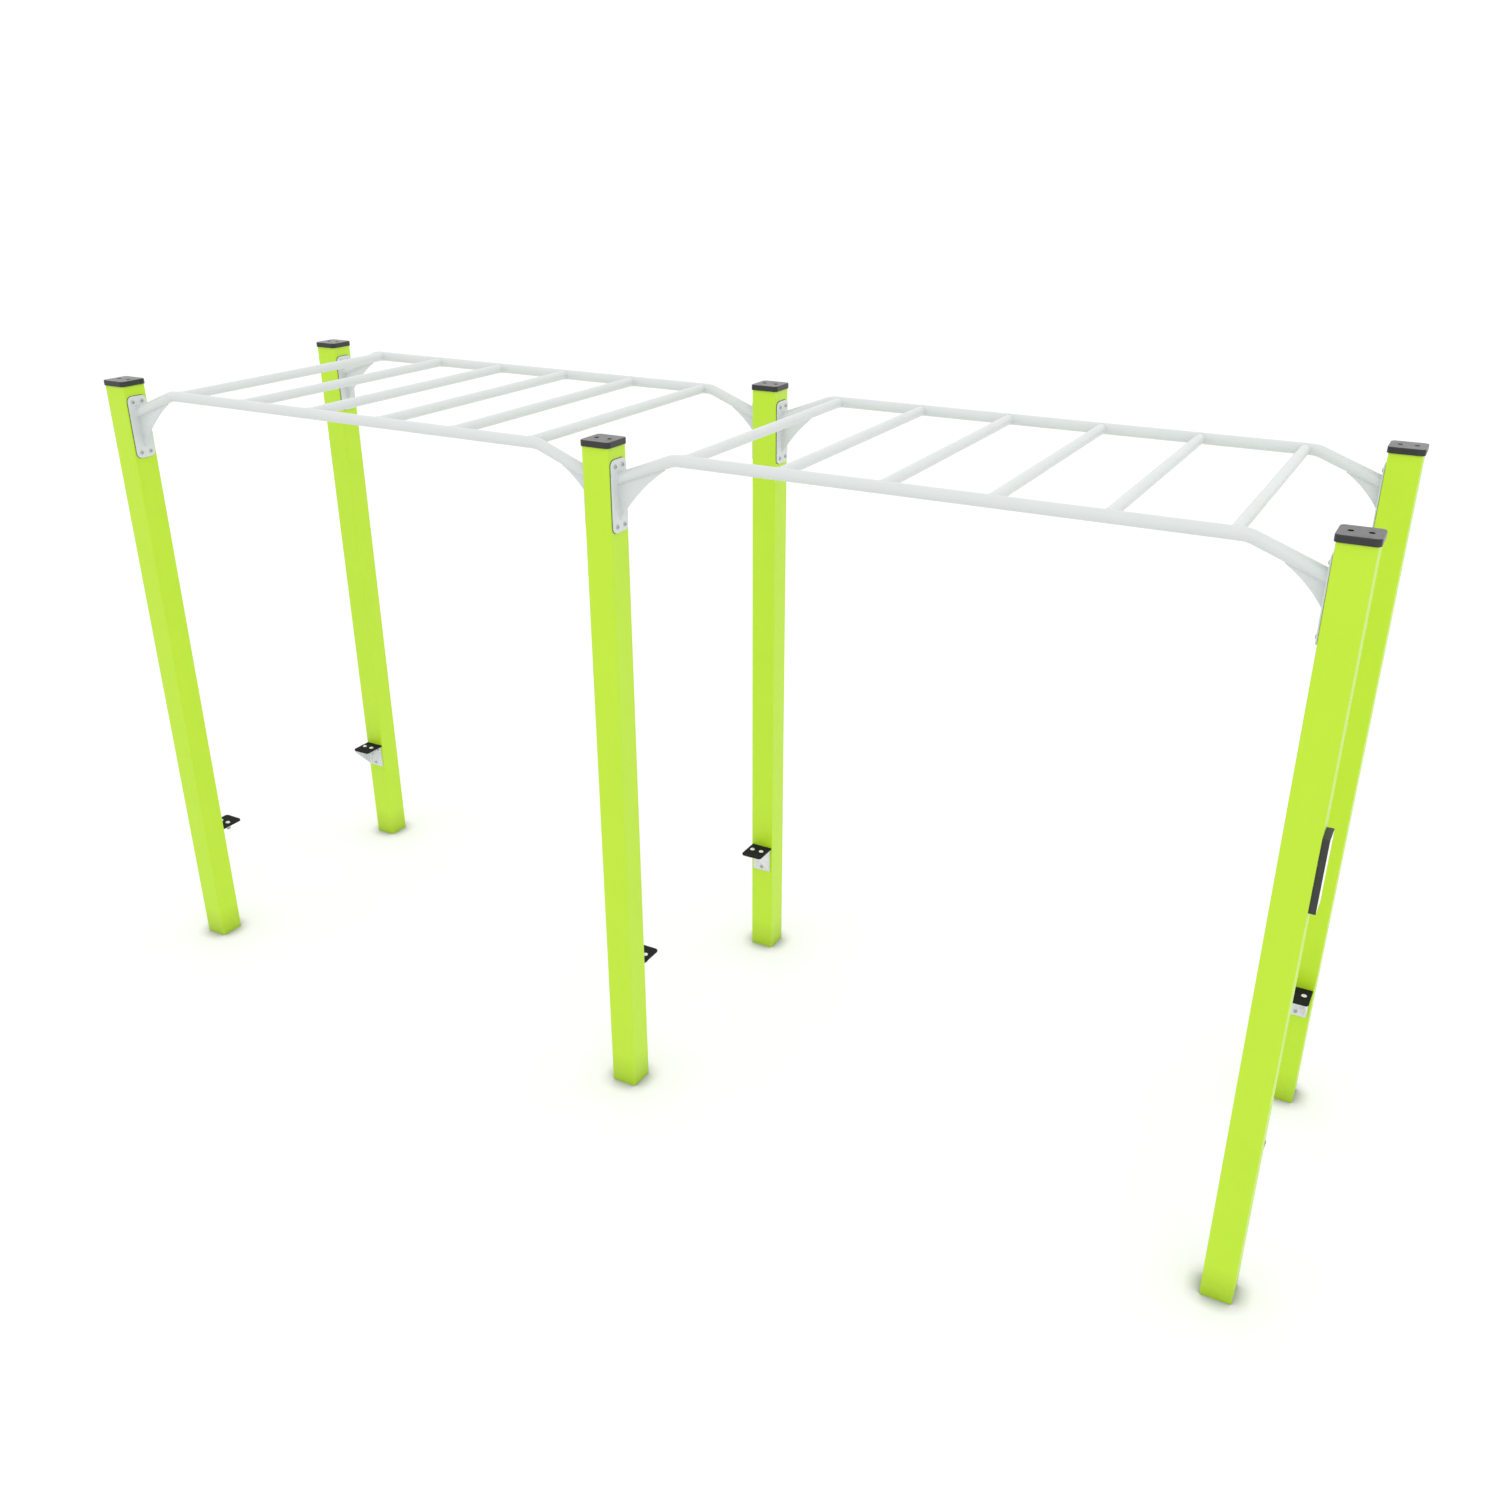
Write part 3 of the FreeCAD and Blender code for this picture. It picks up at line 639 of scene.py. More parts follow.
def bead(line, outward, closed, radius=BEAD_R):
    """Tube round a seam: line + r(s)(cos a out + sin a side), where side is square to the seam
    and to out, and r(s) = r(1 - d|sin(pi s / ripple)|) for the distance s along the seam."""
    if closed:
        along = np.roll(line, -1, 0) - np.roll(line, 1, 0)
    else:
        along = np.gradient(line, axis=0)
    step = np.linalg.norm(np.diff(line, axis=0, append=line[:1]), axis=1)
    travelled = np.cumsum(step) - step[0]
    along /= np.linalg.norm(along, axis=1, keepdims=True)
    out = outward - (outward * along).sum(1, keepdims=True) * along
    out /= np.linalg.norm(out, axis=1, keepdims=True)
    side = np.cross(along, out)
    turn = np.linspace(0, 2 * math.pi, BEAD_POINTS, endpoint=False)[None, :, None]
    swell = radius * (1 - RIPPLE_DEPTH * np.abs(np.sin(math.pi * travelled / RIPPLE)))
    tube_rings = line[:, None] + swell[:, None, None] * (
        np.cos(turn) * out[:, None] + np.sin(turn) * side[:, None])
    if closed:
        return np.concatenate([tube_rings, tube_rings[:1]])
    return np.concatenate([pole(tube_rings[0]), tube_rings, pole(tube_rings[-1])])


def resample(line, spacing):
    """The same open line with points at an even spacing."""
    step = np.linalg.norm(np.diff(line, axis=0), axis=1)
    travelled = np.concatenate([[0], np.cumsum(step)])
    wanted = np.linspace(0, travelled[-1], max(3, int(travelled[-1] / spacing)))
    return np.column_stack([np.interp(wanted, travelled, line[:, k]) for k in range(3)])


def rung_bead():
    """Seam of a rung on the front rail: the saddle curve, drawn finer than the tube."""
    turn = np.linspace(0, 2 * math.pi, SADDLE_STEPS, endpoint=False)
    y = np.sqrt(RAIL_R**2 - (RUNG_R * np.sin(turn)) ** 2) - ROW / 2
    line = np.column_stack([RUNG_R * np.cos(turn), y, RUNG_R * np.sin(turn)])
    lean = np.full(SADDLE_STEPS, SADDLE_LEAN)
    outward = np.column_stack([np.cos(turn), lean, np.sin(turn)])
    return bead(line, outward, closed=True)


seam = rung_bead()
for bay in BAYS:
    spots = [rung_places[bay, n] for n in range(1, RUNGS + 1)]
    skins = [place(seam, (p[0], 0, RAIL_Z), facing) for p in spots for facing in (1, -1)]
    put(f"rung_welds_{bay}", skins_to_mesh("rung_welds", skins), pale_coat)
print("rung welds", 2 * len(rung_places))

# %% [markdown]
# ## Flange plates
# A plate with large round corners spreads each rail's load over the post. A thin dark seal
# lies behind it and stands out all round, so that plate and post don't rub and water stays
# out. Its dark rim is painted shade: it draws the fine dark line of shade round the plate.

# %% Flange plates and seals
PLATE_CORNER = 20 * MM
PLATE_EDGE = 0.9 * MM
SEAL_T = 1 * MM
# Painted shade: the seal stands out past the plate by this much, so its dark rim shows as a line of
# shade.
SEAL_SHADE_LINE = 1.6 * MM
SEAL_BACK_EDGE = 0.2 * MM
SEAL_EDGE = 0.3 * MM
plate = slab(
    PLATE_W, PLATE_H, HALF + SEAL_T, PLATE_FACE, [PLATE_CORNER] * 4, PLATE_EDGE, PLATE_EDGE)
seal = slab(
    PLATE_W + 2 * SEAL_SHADE_LINE, PLATE_H + 2 * SEAL_SHADE_LINE, HALF, HALF + SEAL_T,
    [PLATE_CORNER + SEAL_SHADE_LINE] * 4, SEAL_BACK_EDGE, SEAL_EDGE)
plate = to_x(plate) + [0, 0, PLATE_Z]
seal = to_x(seal) + [0, 0, PLATE_Z]


def bay_ends(bay, row):
    """Post middles at the two ends of a bay, with the way each plate faces."""
    names = ("left", "middle") if bay == "left" else ("middle", "right")
    return [(posts[row, names[0]], 1), (posts[row, names[1]], -1)]


for bay in BAYS:
    for row in ROWS:
        spots = [((p[0], p[1], 0), facing) for p, facing in bay_ends(bay, row)]
        plates = [place(plate, at, facing) for at, facing in spots]
        seals = [place(seal, at, facing) for at, facing in spots]
        node = f"flange_plates_{bay}_{row}"
        put(f"plates_{bay}_{row}", skins_to_mesh(node, plates), pale_coat, [node])
        put(f"plate_seals_{bay}_{row}", skins_to_mesh("seals", seals), shade_line_seal)
print("flange plates", 8, "facing width", round(PLATE_W, 4))

# %% [markdown]
# ## Gussets
# A steel web with a hollow lower edge fills the corner between plate and rail. The gusset at
# the left end of each ladder is larger than the one at the right end. Its outline is a few
# stretches and one arc, so it is drawn as a loop and given its thickness, and a Bevel
# modifier breaks the flame-cut edges. Rings with poles don't suit a shape with a hollow.

# %% Gussets
GUSSET_T = 6 * MM
GUSSET_NOSE = 3 * MM
GUSSET_LARGE = (2237 * MM, 230 * MM, 13.7 * MM)
GUSSET_SMALL = (2283 * MM, 164 * MM, 7.6 * MM)
TUCK = 2 * MM
HOLLOW_POINTS = 25
GUSSET_EDGE = 0.8 * MM


def arc_points(first, last, hollow, count):
    """Arc with a given sagitta: points on a circle of radius (c^2 / 4 + s^2) / 2s through both
    ends, bulging to the left of the way from the first to the last."""
    chord = last - first
    length = np.linalg.norm(chord)
    left = np.array([-chord[1], chord[0]]) / length
    radius = (length**2 / 4 + hollow**2) / (2 * hollow)
    centre = (first + last) / 2 + left * (hollow - radius)
    swing = math.asin(length / 2 / radius)
    t = np.linspace(-swing, swing, count)[:, None]
    return centre + radius * (np.cos(t) * left + np.sin(t) * chord / length)


def gusset_loop(size):
    """Outline in x and z: hollow edge from heel to tip, nose, along the rail, down the plate."""
    heel_z, reach, hollow = size
    under = line_height(reach) - RAIL_R / math.cos(RAIL_SLOPE)
    heel, tip = np.array([PLATE_FACE, heel_z]), np.array([reach, under - GUSSET_NOSE])
    edge = arc_points(heel, tip, hollow, HOLLOW_POINTS)
    tuck = TUCK / math.cos(RAIL_SLOPE)
    corner_z = line_height(PLATE_FACE) - RAIL_R / math.cos(RAIL_SLOPE) + tuck
    return np.concatenate([edge, [[reach, under + tuck], [PLATE_FACE, corner_z]]])


def prism_mesh(name, loops, low, high, lift):
    """Each loop drawn twice, at low and at high, with the two faces and the wall between.
    lift turns the flat points and a height into points in space."""
    points, faces = [], []
    for loop in loops:
        count, start = len(loop), len(points)
        points += lift(loop, low).tolist() + lift(loop, high).tolist()
        here = start + np.arange(count)
        there = start + (np.arange(count) + 1) % count
        faces += [here.tolist(), (here + count)[::-1].tolist()]
        faces += np.column_stack([there, here, here + count, there + count]).tolist()
    mesh = bpy.data.meshes.new(name)
    mesh.from_pydata(points, [], faces)
    shell = bmesh.new()
    shell.from_mesh(mesh)
    bmesh.ops.recalc_face_normals(shell, faces=shell.faces)
    shell.to_mesh(mesh)
    shell.free()
    return mesh


def soften(piece, width, segments=3):
    """Bevel modifier that breaks every edge sharper than 40 degrees."""
    edge = piece.modifiers.new("broken_edges", "BEVEL")
    edge.width = width
    edge.segments = segments
    edge.limit_method = "ANGLE"
    edge.angle_limit = math.radians(40)
    edge.harden_normals = True
    return piece


def across(at, facing):
    """Lift for a loop in x and z, with the height measured along y."""
    def lift(loop, height):
        flat = np.column_stack([loop[:, 0], np.full(len(loop), height), loop[:, 1]])
        return place(flat, (at[0], at[1], 0), facing)
    return lift


def join(name, meshes):
    """One mesh from several."""
    shell = bmesh.new()
    for mesh in meshes:
        shell.from_mesh(mesh)
    whole = bpy.data.meshes.new(name)
    shell.to_mesh(whole)
    shell.free()
    return whole


for bay in BAYS:
    for row in ROWS:
        webs = [
            prism_mesh("web", [gusset_loop(size)], -GUSSET_T / 2, GUSSET_T / 2, across(p, facing))
            for size, (p, facing) in zip((GUSSET_LARGE, GUSSET_SMALL), bay_ends(bay, row))
        ]
        node = f"gussets_{bay}_{row}"
        web = put(f"gusset_webs_{bay}_{row}", join(node, webs), pale_coat, [node])
        soften(web, GUSSET_EDGE)
print("gussets", 8)


# %% [markdown]
# ## Welds at the plates
# The rail's end is welded to its plate all round, and each web on both sides, down the plate
# and along the rail. The seam of the rail's end is the rail's own first ring, so the bead can't
# miss it. The same bead function draws them all.

# %% Welds at the plates
RAIL_BEAD_R = 2.8 * MM
WEB_BEAD_R = 2 * MM
FLARE = 20 * MM
HEEL_STOP = 3 * MM
TIP_STOP = 4 * MM


def rail_end_bead():
    """Seam where the tube meets the plate: the rail's first ring."""
    ring = rail_skin(RAIL_R)[0]
    fine = resample(np.concatenate([ring, ring[:1]]), RIPPLE / 3)[:-1]
    outward = fine - fine.mean(0) + [FLARE, 0, 0]
    return bead(fine, outward, closed=True, radius=RAIL_BEAD_R)


def gusset_beads(size):
    """Seams on both sides of a web, down the plate and along the rail."""
    heel_z, reach, _ = size
    below_line = RAIL_R / math.cos(RAIL_SLOPE)
    under = line_height(PLATE_FACE) - below_line
    tip = line_height(reach) - below_line - TIP_STOP * math.tan(RAIL_SLOPE)
    beads = []
    for side in (-1, 1):
        y = side * GUSSET_T / 2
        corner = [PLATE_FACE, y, under]
        for end in ([PLATE_FACE, y, heel_z + HEEL_STOP], [reach - TIP_STOP, y, tip]):
            fine = resample(np.array([corner, end]), RIPPLE / 3)
            outward = np.tile([0.5, side, -0.5], (len(fine), 1))
            beads.append(bead(fine, outward, closed=False, radius=WEB_BEAD_R))
    return beads


for bay in BAYS:
    skins = []
    for row in ROWS:
        for size, (p, facing) in zip((GUSSET_LARGE, GUSSET_SMALL), bay_ends(bay, row)):
            local = [rail_end_bead(), *gusset_beads(size)]
            skins += [place(skin, (p[0], p[1], 0), facing) for skin in local]
    put(f"plate_welds_{bay}", skins_to_mesh("plate_welds", skins), pale_coat)
print("plate welds", 8, "rail ends and", 32, "web seams")

# %% [markdown]
# ## Bolts
# The plates and brackets are held by button-head bolts with a hexagon socket. The head is a
# profile spun about its axis, and the socket belongs to the same skin: from the crown inwards
# the rings turn from circles to hexagons, whose radius at an angle a is f / cos(a'), with f
# half the flats and a' the angle from the nearest flat. A boolean isn't needed, so fifty
# bolts stay light.

# %% Button-head bolts
HEAD_R = 7 * MM
HEAD_H = 4.4 * MM
SHANK_R = 4 * MM
SOCKET = 5 * MM
SOCKET_DEPTH = 2.6 * MM
SOCKET_LIP = 0.15 * MM
SOCKET_POINT = 0.8 * MM
HEAD_LAND = 1 * MM
HEAD_BREAK = 0.2 * MM
CROWN_TURN = 1.12
PLATE_SHANK = 20 * MM
BOLT_Y = 21 * MM
BOLT_Z = 98 * MM
BOLT_POINTS = 36
spin = np.linspace(0, 2 * math.pi, BOLT_POINTS, endpoint=False)


def spun(radii, heights, hexagonal=()):
    """Rings of the given radii. A ring listed as hexagonal takes its radius as half its flats."""
    from_flat = (spin + math.pi / 6) % (math.pi / 3) - math.pi / 6
    stack = []
    for i, (r, z) in enumerate(zip(radii, heights)):
        reach = r / np.cos(from_flat) if i in hexagonal else np.full(BOLT_POINTS, r)
        ring = [reach * np.cos(spin), reach * np.sin(spin), np.full(BOLT_POINTS, z)]
        stack.append(np.column_stack(ring))
    return np.stack(stack)


def button_bolt(length):
    """Shank, flat seat, short rim, crown on a quarter ellipse, and socket."""
    t = np.linspace(0, CROWN_TURN, 7)
    crown_h = HEAD_LAND + (HEAD_H - HEAD_LAND) * np.sin(t) / math.sin(CROWN_TURN)
    radii = [0, SHANK_R, SHANK_R, HEAD_R - HEAD_BREAK, HEAD_R, *(HEAD_R * np.cos(t))]
    heights = [-length, -length, 0, 0, HEAD_BREAK, *crown_h]
    lip = len(radii)
    socket_floor = HEAD_H - SOCKET_DEPTH
    radii += [SOCKET / 2 + SOCKET_LIP, SOCKET / 2, SOCKET / 2, 0]
    heights += [HEAD_H, HEAD_H - HEAD_BREAK, socket_floor, socket_floor - SOCKET_POINT]
    return spun(radii, heights, (lip, lip + 1, lip + 2))


post_bolt = button_bolt(PLATE_SHANK)
flange_skins = []
for (row, column), middle in posts.items():
    for facing in FACE_TURNS[column]:
        for y in (-BOLT_Y, BOLT_Y):
            for z in (PLATE_Z - BOLT_Z, PLATE_Z + BOLT_Z):
                standing = to_x(post_bolt) + [PLATE_FACE, y, z]
                flange_skins.append(place(standing, (middle[0], middle[1], 0), facing))
mesh = skins_to_mesh("plate_bolts", flange_skins)
put("plate_bolts", mesh, dull_zinc, ["flange_bolts"])
print("plate bolts", len(flange_skins))

# %% [markdown]
# ## Steps
# Six small steps let a child reach the rungs. A folded steel bracket carries a black tread
# whose rows of small studs give grip. The studs are real geometry, four-sided and low, and
# they leave the two bolt heads free. The bracket's fold has a bend radius, as pressed sheet
# has, so its L-shaped edge view is drawn with two arcs and carried across its width.

# %% Step brackets
BRACKET_T = 5 * MM
FOLD_R = 7 * MM
LIP = 8 * MM
WEB_LAP = 0.5 * MM
BRACKET_EDGE = 0.7 * MM
bracket_low, bracket_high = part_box("step_bracket_front_left")
bracket_size = bracket_high - bracket_low
WEB_AT = {
    ("front", "left"): -1, ("front", "middle"): -1, ("front", "right"): 1,
    ("back", "left"): -1, ("back", "middle"): 1, ("back", "right"): 1,
}
STEPS = [
    (row, column, (middle[0], middle[1], 0), 1 if row == "front" else -1)
    for (row, column), middle in posts.items()
]


def fold_loop():
    """Edge view in y and z: down the post face, up the front of the plate to the inner bend,
    along under the shelf, round its end and back over the outer bend."""
    back, front = HALF, HALF + bracket_size.y
    low, high = bracket_low.z, bracket_high.z
    turn = np.linspace(0, math.pi / 2, 7)
    inner_r = FOLD_R - BRACKET_T
    inner = np.column_stack([
        back + FOLD_R - inner_r * np.cos(turn), high - FOLD_R + inner_r * np.sin(turn)])
    outer = np.column_stack([
        back + FOLD_R - FOLD_R * np.sin(turn), high - FOLD_R + FOLD_R * np.cos(turn)])
    return np.concatenate([
        [[back, low], [back + BRACKET_T, low]], inner,
        [[front, high - BRACKET_T], [front, high]], outer])


def web_loop():
    """Triangle in y and z with a short upright lip under the front of the shelf."""
    back, front = HALF + BRACKET_T - WEB_LAP, HALF + bracket_size.y
    low, high = bracket_low.z, bracket_high.z - BRACKET_T + WEB_LAP
    return np.array([[back, low], [front, bracket_high.z - LIP], [front, high], [back, high]])


def sideways(at, facing):
    """Lift for a loop in y and z, with the height measured along x."""
    def lift(loop, height):
        flat = np.column_stack([np.full(len(loop), height), loop[:, 0], loop[:, 1]])
        return place(flat, (at[0], at[1], 0), facing)
    return lift


for row, column, at, facing in STEPS:
    half = bracket_size.x / 2
    side = WEB_AT[row, column] * facing
    edges = (half - BRACKET_T, half) if side > 0 else (-half, BRACKET_T - half)
    lift = sideways(at, facing)
    sheet = prism_mesh("fold", [fold_loop()], -half, half, lift)
    web = prism_mesh("web", [web_loop()], edges[0], edges[1], lift)
    node = f"step_bracket_{row}_{column}"
    name = f"folded_bracket_{row}_{column}"
    bracket = put(name, join(node, [sheet, web]), bracket_zinc, [node])
    soften(bracket, BRACKET_EDGE)
print("brackets", len(STEPS))

# %% [markdown]
# ## Bracket welds
# The web is welded to the plate in their inner corner, and the seam shows as a pale upright
# line. Its paler coat is painted highlight: it draws the light line along the corner. It is
# one more bead, here along a straight line. A bevel in the corner could stand for it, but
# would have no ripples.

# %% Bracket welds
BRACKET_BEAD_R = 3 * MM
BEAD_START = 3 * MM


def corner_bead(side):
    """Upright seam in the inner corner between the plate and the web."""
    corner_x = side * (bracket_size.x / 2 - BRACKET_T)
    reach = (bracket_low.z + BEAD_START, bracket_high.z - FOLD_R)
    fine = resample(np.array([[corner_x, HALF + BRACKET_T, z] for z in reach]), RIPPLE / 3)
    outward = np.tile([-side, 1.0, 0.0], (len(fine), 1))
    return bead(fine, outward, closed=False, radius=BRACKET_BEAD_R)


corner_skins = [
    place(corner_bead(WEB_AT[row, column] * facing), at, facing)
    for row, column, at, facing in STEPS
]
# The bead's pale coat is painted highlight along the bracket's inner corner.
put("bracket_welds", skins_to_mesh("bracket_welds", corner_skins), pale_weld_highlight_zinc)
print("bracket welds", len(corner_skins))

# %% [markdown]
# ## Treads
# The tread is a slab of rough black compound with two round front corners. A displacement map
# could raise its studs, but it would need a very dense mesh. Each stud is instead a few rings
# of four points, set out by adding an array of places to one stud.

# %% Treads
TREAD_FRONT_R = 12 * MM
TREAD_BACK_R = 1.5 * MM
TREAD_LOW_EDGE = 0.6 * MM
TREAD_EDGE = 1.2 * MM
STUD_PITCH = 6 * MM
STUD_BASE = 2.1 * MM
STUD_TOP = 1.3 * MM
STUD_H = 0.7 * MM
STUD_ROOT = 0.3 * MM
STUD_MARGIN = 5 * MM
CORNER_MARGIN = 4 * MM
BOLT_MARGIN = 13.5 * MM
ROW_SHARE = 0.9
TREAD_BOLT_X = 21.5 * MM
TREAD_BOLT_Y = 48 * MM
tread_low, tread_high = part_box("step_tread_front_left")
tread_size = tread_high - tread_low


def stud_places():
    """Rows of studs, every second row half a pitch along, kept off the rim and the bolts."""
    columns = np.arange(-8, 9) * STUD_PITCH
    rows = np.arange(-9, 10) * STUD_PITCH * ROW_SHARE
    x, y = np.meshgrid(columns, rows)
    x = x + (np.arange(len(rows)) % 2)[:, None] * STUD_PITCH / 2
    spots = np.column_stack([x.ravel(), y.ravel()])
    half = np.array([tread_size.x, tread_size.y]) / 2
    inside = (np.abs(spots) < half - STUD_MARGIN).all(1)
    bolt_y = TREAD_BOLT_Y - tread_size.y / 2
    for bolt_x in (-TREAD_BOLT_X, TREAD_BOLT_X):
        inside &= np.hypot(spots[:, 0] - bolt_x, spots[:, 1] - bolt_y) > BOLT_MARGIN
    corner = np.maximum(np.abs(spots[:, 0]) - (half[0] - TREAD_FRONT_R), 0)
    front = np.maximum(spots[:, 1] - (half[1] - TREAD_FRONT_R), 0)
    return spots[inside & (np.hypot(corner, front) < TREAD_FRONT_R - CORNER_MARGIN)]


def tread_skins():
    """Plate with two round front corners, and the studs as rings of four points on a pole."""
    top = tread_high.z - STUD_H
    corners = [TREAD_FRONT_R, TREAD_FRONT_R, TREAD_BACK_R, TREAD_BACK_R]
    body = slab(
        tread_size.x, tread_size.y, tread_low.z, top, corners, TREAD_LOW_EDGE, TREAD_EDGE)
    quarter = math.pi / 2 * np.arange(4)
    square = np.column_stack([np.cos(quarter), np.sin(quarter), np.zeros(4)])
    levels = [(STUD_BASE, -STUD_ROOT), (STUD_BASE, 0), (STUD_TOP, STUD_H), (0, STUD_H)]
    stud = np.stack([square * [r, r, 1] + [0, 0, top + z] for r, z in levels])
    stud = np.concatenate([pole(stud[0]), stud])
    spots = stud_places()
    offsets = np.column_stack([spots, np.zeros(len(spots))])
    studs = stud[None] + offsets[:, None, None, :]
    shift = [0, HALF + tread_size.y / 2, 0]
    return [body + shift, studs + shift]


tread = tread_skins()
for row, column, at, facing in STEPS:
    node = f"step_tread_{row}_{column}"
    mesh = skins_to_mesh(node, [place(skin, at, facing) for skin in tread])
    put(f"studded_tread_{row}_{column}", mesh, tread_rubber, [node])
print("treads", len(STEPS), "studs in one", len(tread[1]))

# %% [markdown]
# ## Step fasteners
# The tread is held by two plain dome heads that can't be undone from above, with closed nuts
# under the shelf. The bracket is held to the post by three of the button-head bolts. The
# domes are spun from an ellipse, which is cheaper and smoother than a cut sphere.

# %% Step fasteners
DOME_R = 10 * MM
DOME_H = 5 * MM
DOME_LAND = 0.3 * MM
NUT_R = 9.5 * MM
NUT_H = 20 * MM
NUT_SOFT = 4.75 * MM
BRACKET_SHANK = 19 * MM
TREAD_SHANK = 22 * MM
BRACKET_BOLTS = ((0, 409 * MM), (-24 * MM, 485 * MM), (24 * MM, 485 * MM))


def dome_bolt(length):
    """Shank, flat seat and a crown r cos t, h sin t."""
    t = np.linspace(0, math.pi / 2, 9)
    radii = [0, SHANK_R, SHANK_R, DOME_R - HEAD_BREAK, *(DOME_R * np.cos(t))]
    heights = [-length, -length, 0, 0, *(DOME_LAND + (DOME_H - DOME_LAND) * np.sin(t))]
    return spun(radii, heights)


def closed_nut():
    """Sleeve over the thread's end with a softened lower rim, drawn hanging from z = 0."""
    insets, rises = rim(NUT_SOFT)
    return spun([0, *(NUT_R - insets), NUT_R, 0], [-NUT_H, *(rises - NUT_H), 0, 0])


step_bolt_skins, dome_skins, nut_skins = [], [], []
short_bolt = button_bolt(BRACKET_SHANK)
head_z = tread_high.z - STUD_H
shelf_z = bracket_high.z - BRACKET_T
for _, _, at, facing in STEPS:
    for x, z in BRACKET_BOLTS:
        standing = to_y(short_bolt) + [x, HALF + BRACKET_T, z]
        step_bolt_skins.append(place(standing, at, facing))
    for x in (-TREAD_BOLT_X, TREAD_BOLT_X):
        spot = np.array([x, HALF + TREAD_BOLT_Y, 0])
        dome_skins.append(place(dome_bolt(TREAD_SHANK) + spot + [0, 0, head_z], at, facing))
        nut_skins.append(place(closed_nut() + spot + [0, 0, shelf_z], at, facing))
for name, skins, coat, node in (
    ("bracket_button_bolts", step_bolt_skins, dull_zinc, "bracket_bolts"),
    ("tread_dome_bolts", dome_skins, bright_zinc, "tread_bolts"),
    ("tread_closed_nuts", nut_skins, dull_zinc, "tread_nuts"),
):
    put(name, skins_to_mesh(node, skins), coat, [node])
print("step fasteners", len(step_bolt_skins), len(dome_skins), len(nut_skins))

# %% [markdown]
# ## Sign box
# A shallow moulded tray on the end post holds a flat panel, which is blank here. The tray is
# one skin of rounded rings that go round its front rim and down into the recess, and the
# panel is a thin slab that sits in it with a hair of play.

# %% Sign box
TRAY_CORNER = 4.2 * MM
TRAY_EDGE = 1.4 * MM
TRAY_BACK_EDGE = 0.4 * MM
TRAY_RIM = 3 * MM
TRAY_WALL = 4 * MM
RIM_DROP = 0.2 * MM
PANEL_PLAY = 0.25 * MM
PANEL_CORNER = 1.5 * MM
PANEL_BACK_EDGE = 0.1 * MM
PANEL_EDGE = 0.3 * MM
tray_middle, tray_size = middle_and_size("sign_body")
panel_middle, panel_size = middle_and_size("sign_face")
end_post = posts["front", "right"]


def tray_skin():
    """Rings up the side, over the front rim, and down to the floor of the recess."""
    back, front = HALF, HALF + tray_size[0]
    low_in, low_z = rim(TRAY_BACK_EDGE)
    high_in, high_z = rim(TRAY_EDGE, rising=False)
    insets = [TRAY_WALL, TRAY_WALL, *low_in, *high_in, TRAY_RIM - LEAD, TRAY_RIM, TRAY_RIM]
    floor = front - panel_size[0]
    heights = [floor - TRAY_WALL, back, *(back + low_z), *(front + high_z)]
    heights += [front, front - RIM_DROP, floor]
    body = rings(tray_size[1], tray_size[2], [TRAY_CORNER] * 4, insets, heights)
    return to_x(np.concatenate([pole(body[0]), body, pole(body[-1])]))


tray = place(tray_skin(), (end_post[0], end_post[1], tray_middle[2]))
put("sign_tray", skins_to_mesh("sign_tray", [tray]), tray_plastic, ["sign_body"])
front = HALF + tray_size[0]
panel = to_x(slab(
    panel_size[1] - 2 * PANEL_PLAY, panel_size[2] - 2 * PANEL_PLAY,
    front - panel_size[0], front, [PANEL_CORNER] * 4, PANEL_BACK_EDGE, PANEL_EDGE))
panel = place(panel, (end_post[0], end_post[1], panel_middle[2]))
put("sign_panel", skins_to_mesh("sign_panel", [panel]), panel_plastic, ["sign_face"])
print("sign", np.round(tray_size / MM, 1))

# %% [markdown]
# ## Pieces that stay as they came
# The weld nuts, the bars under the caps, the plates in the feet and the small screws are
# hidden or deep in a recess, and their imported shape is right. They only need their finish.

# %% Finishes on the kept nodes
KEPT = {
    "weld_nuts": inner_zinc, "cap_cleats": inner_zinc, "post_foot_plates": inner_zinc,
    "cap_screws": blackened, "sign_screws": blackened,
}
for node, coat in KEPT.items():
    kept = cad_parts[node].data
    kept.materials.clear()
    kept.materials.append(coat)
print("kept nodes", sorted(KEPT))

# %% [markdown]
# ## Floor and light
# A white floor and a white sky give the even light of a product studio. So bright a room
# nearly washes out the shadows at the feet, so the floor's own colour is dimmed by ambient
# occlusion within 6 cm of whatever stands on it. One very large, weak lamp behind the camera
# adds just enough direction for the tubes to look round. Film-like colour would grey the
# white floor, so the plain view transform is chosen.

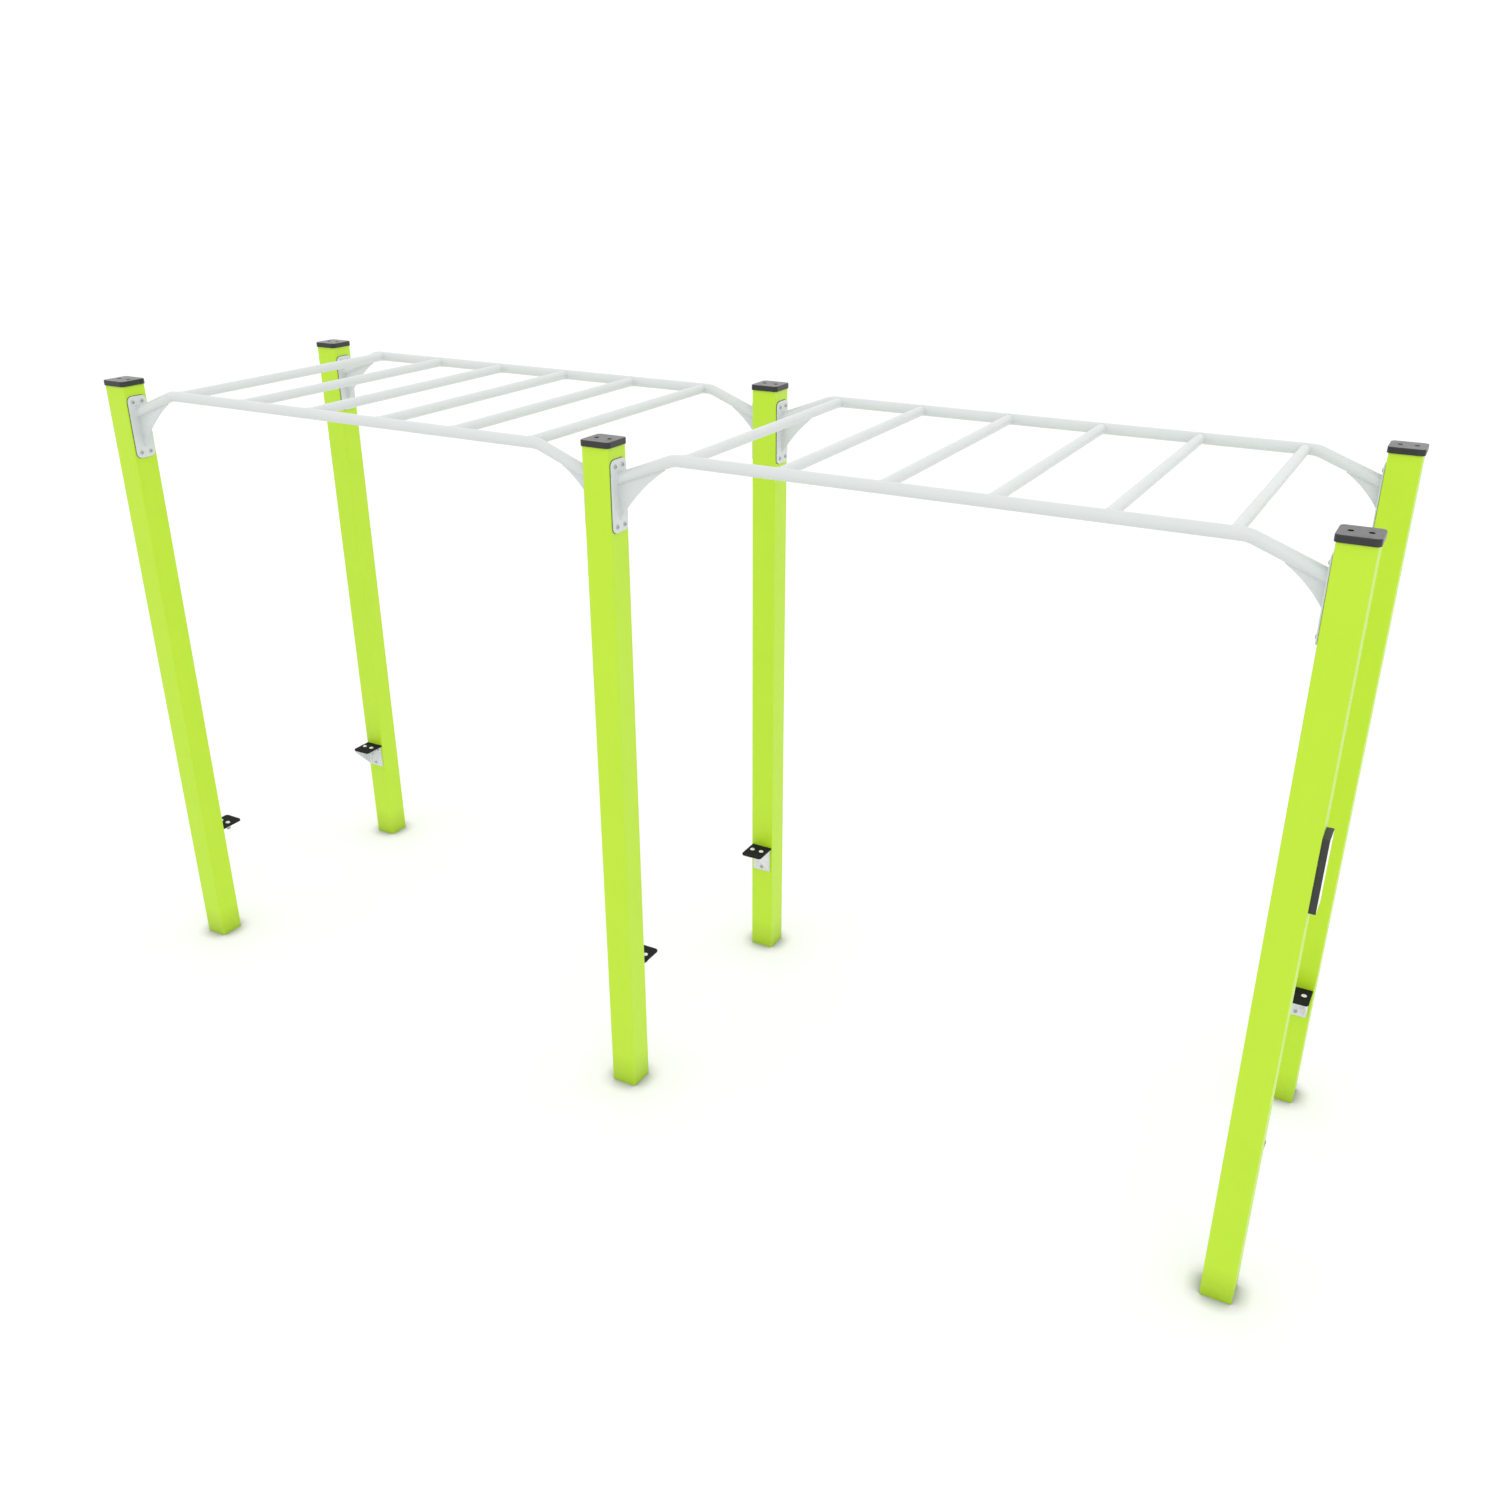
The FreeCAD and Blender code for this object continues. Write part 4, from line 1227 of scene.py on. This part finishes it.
# %% Studio
REACH = 60.0
FLOOR_WHITE = 0.87
CONTACT_REACH = 0.06
SKY_STRENGTH = 1.22
LAMP_SIZE = 6
LAMP_WATTS = 50
LAMP_AT = (4.5, -6.0, 7.0)
LAMP_TURN = (math.radians(50), 0, math.radians(37))
floor_mesh = bpy.data.meshes.new("floor")
corners = [(-REACH, -REACH, 0), (REACH, -REACH, 0), (REACH, REACH, 0), (-REACH, REACH, 0)]
floor_mesh.from_pydata(corners, [], [(0, 1, 2, 3)])
floor = bpy.data.objects.new("studio_floor", floor_mesh)
bpy.context.scene.collection.objects.link(floor)
floor_coat, floor_nodes, floor_links, floor_shader, floor_place = blank("studio_white")
floor_shader.inputs["Roughness"].default_value = 1.0
floor_shader.inputs["Specular IOR Level"].default_value = 0.0
contact = floor_nodes.new("ShaderNodeAmbientOcclusion")
contact.inputs["Color"].default_value = (*[FLOOR_WHITE] * 3, 1)
contact.inputs["Distance"].default_value = CONTACT_REACH
floor_links.new(contact.outputs["Color"], floor_shader.inputs["Base Color"])
floor_mesh.materials.append(floor_coat)
floor_nodes.remove(floor_place)

sky = bpy.data.worlds.new("studio_sky")
sky.use_nodes = True
background = sky.node_tree.nodes["Background"]
background.inputs["Color"].default_value = (1, 1, 1, 1)
background.inputs["Strength"].default_value = SKY_STRENGTH
bpy.context.scene.world = sky
bpy.context.scene.view_settings.view_transform = "Standard"

lamp_data = bpy.data.lights.new("softbox", "AREA")
lamp_data.shape = "DISK"
lamp_data.size = LAMP_SIZE
lamp_data.energy = LAMP_WATTS
lamp = bpy.data.objects.new("softbox", lamp_data)
lamp.location = LAMP_AT
lamp.rotation_euler = LAMP_TURN
bpy.context.scene.collection.objects.link(lamp)
print("sky", SKY_STRENGTH, "lamp watts", LAMP_WATTS)

# %% [markdown]
# ## Camera
# The camera stands above head height to the front right and looks down and to the left. Its
# lens is a mild wide-angle, which makes the near post lean outwards.

# %% Camera
LENS = 33.137
CAMERA_AT = (2.5322, -4.1872, 3.4228)
LOOK_DOWN = math.radians(24.647)
LOOK_LEFT = math.radians(28.884)
camera_data = bpy.data.cameras.new("camera")
camera_data.lens = LENS
camera_data.sensor_width = 36
camera_data.clip_end = 200
camera = bpy.data.objects.new("camera", camera_data)
camera.location = CAMERA_AT
camera.rotation_euler = (math.pi / 2 - LOOK_DOWN, 0, LOOK_LEFT)
bpy.context.scene.collection.objects.link(camera)
bpy.context.scene.camera = camera
print("camera at", CAMERA_AT)

# %% [markdown]
# ## Update
# The view layer is brought up to date once more at the end.

# %% Final update
bpy.context.view_layer.update()
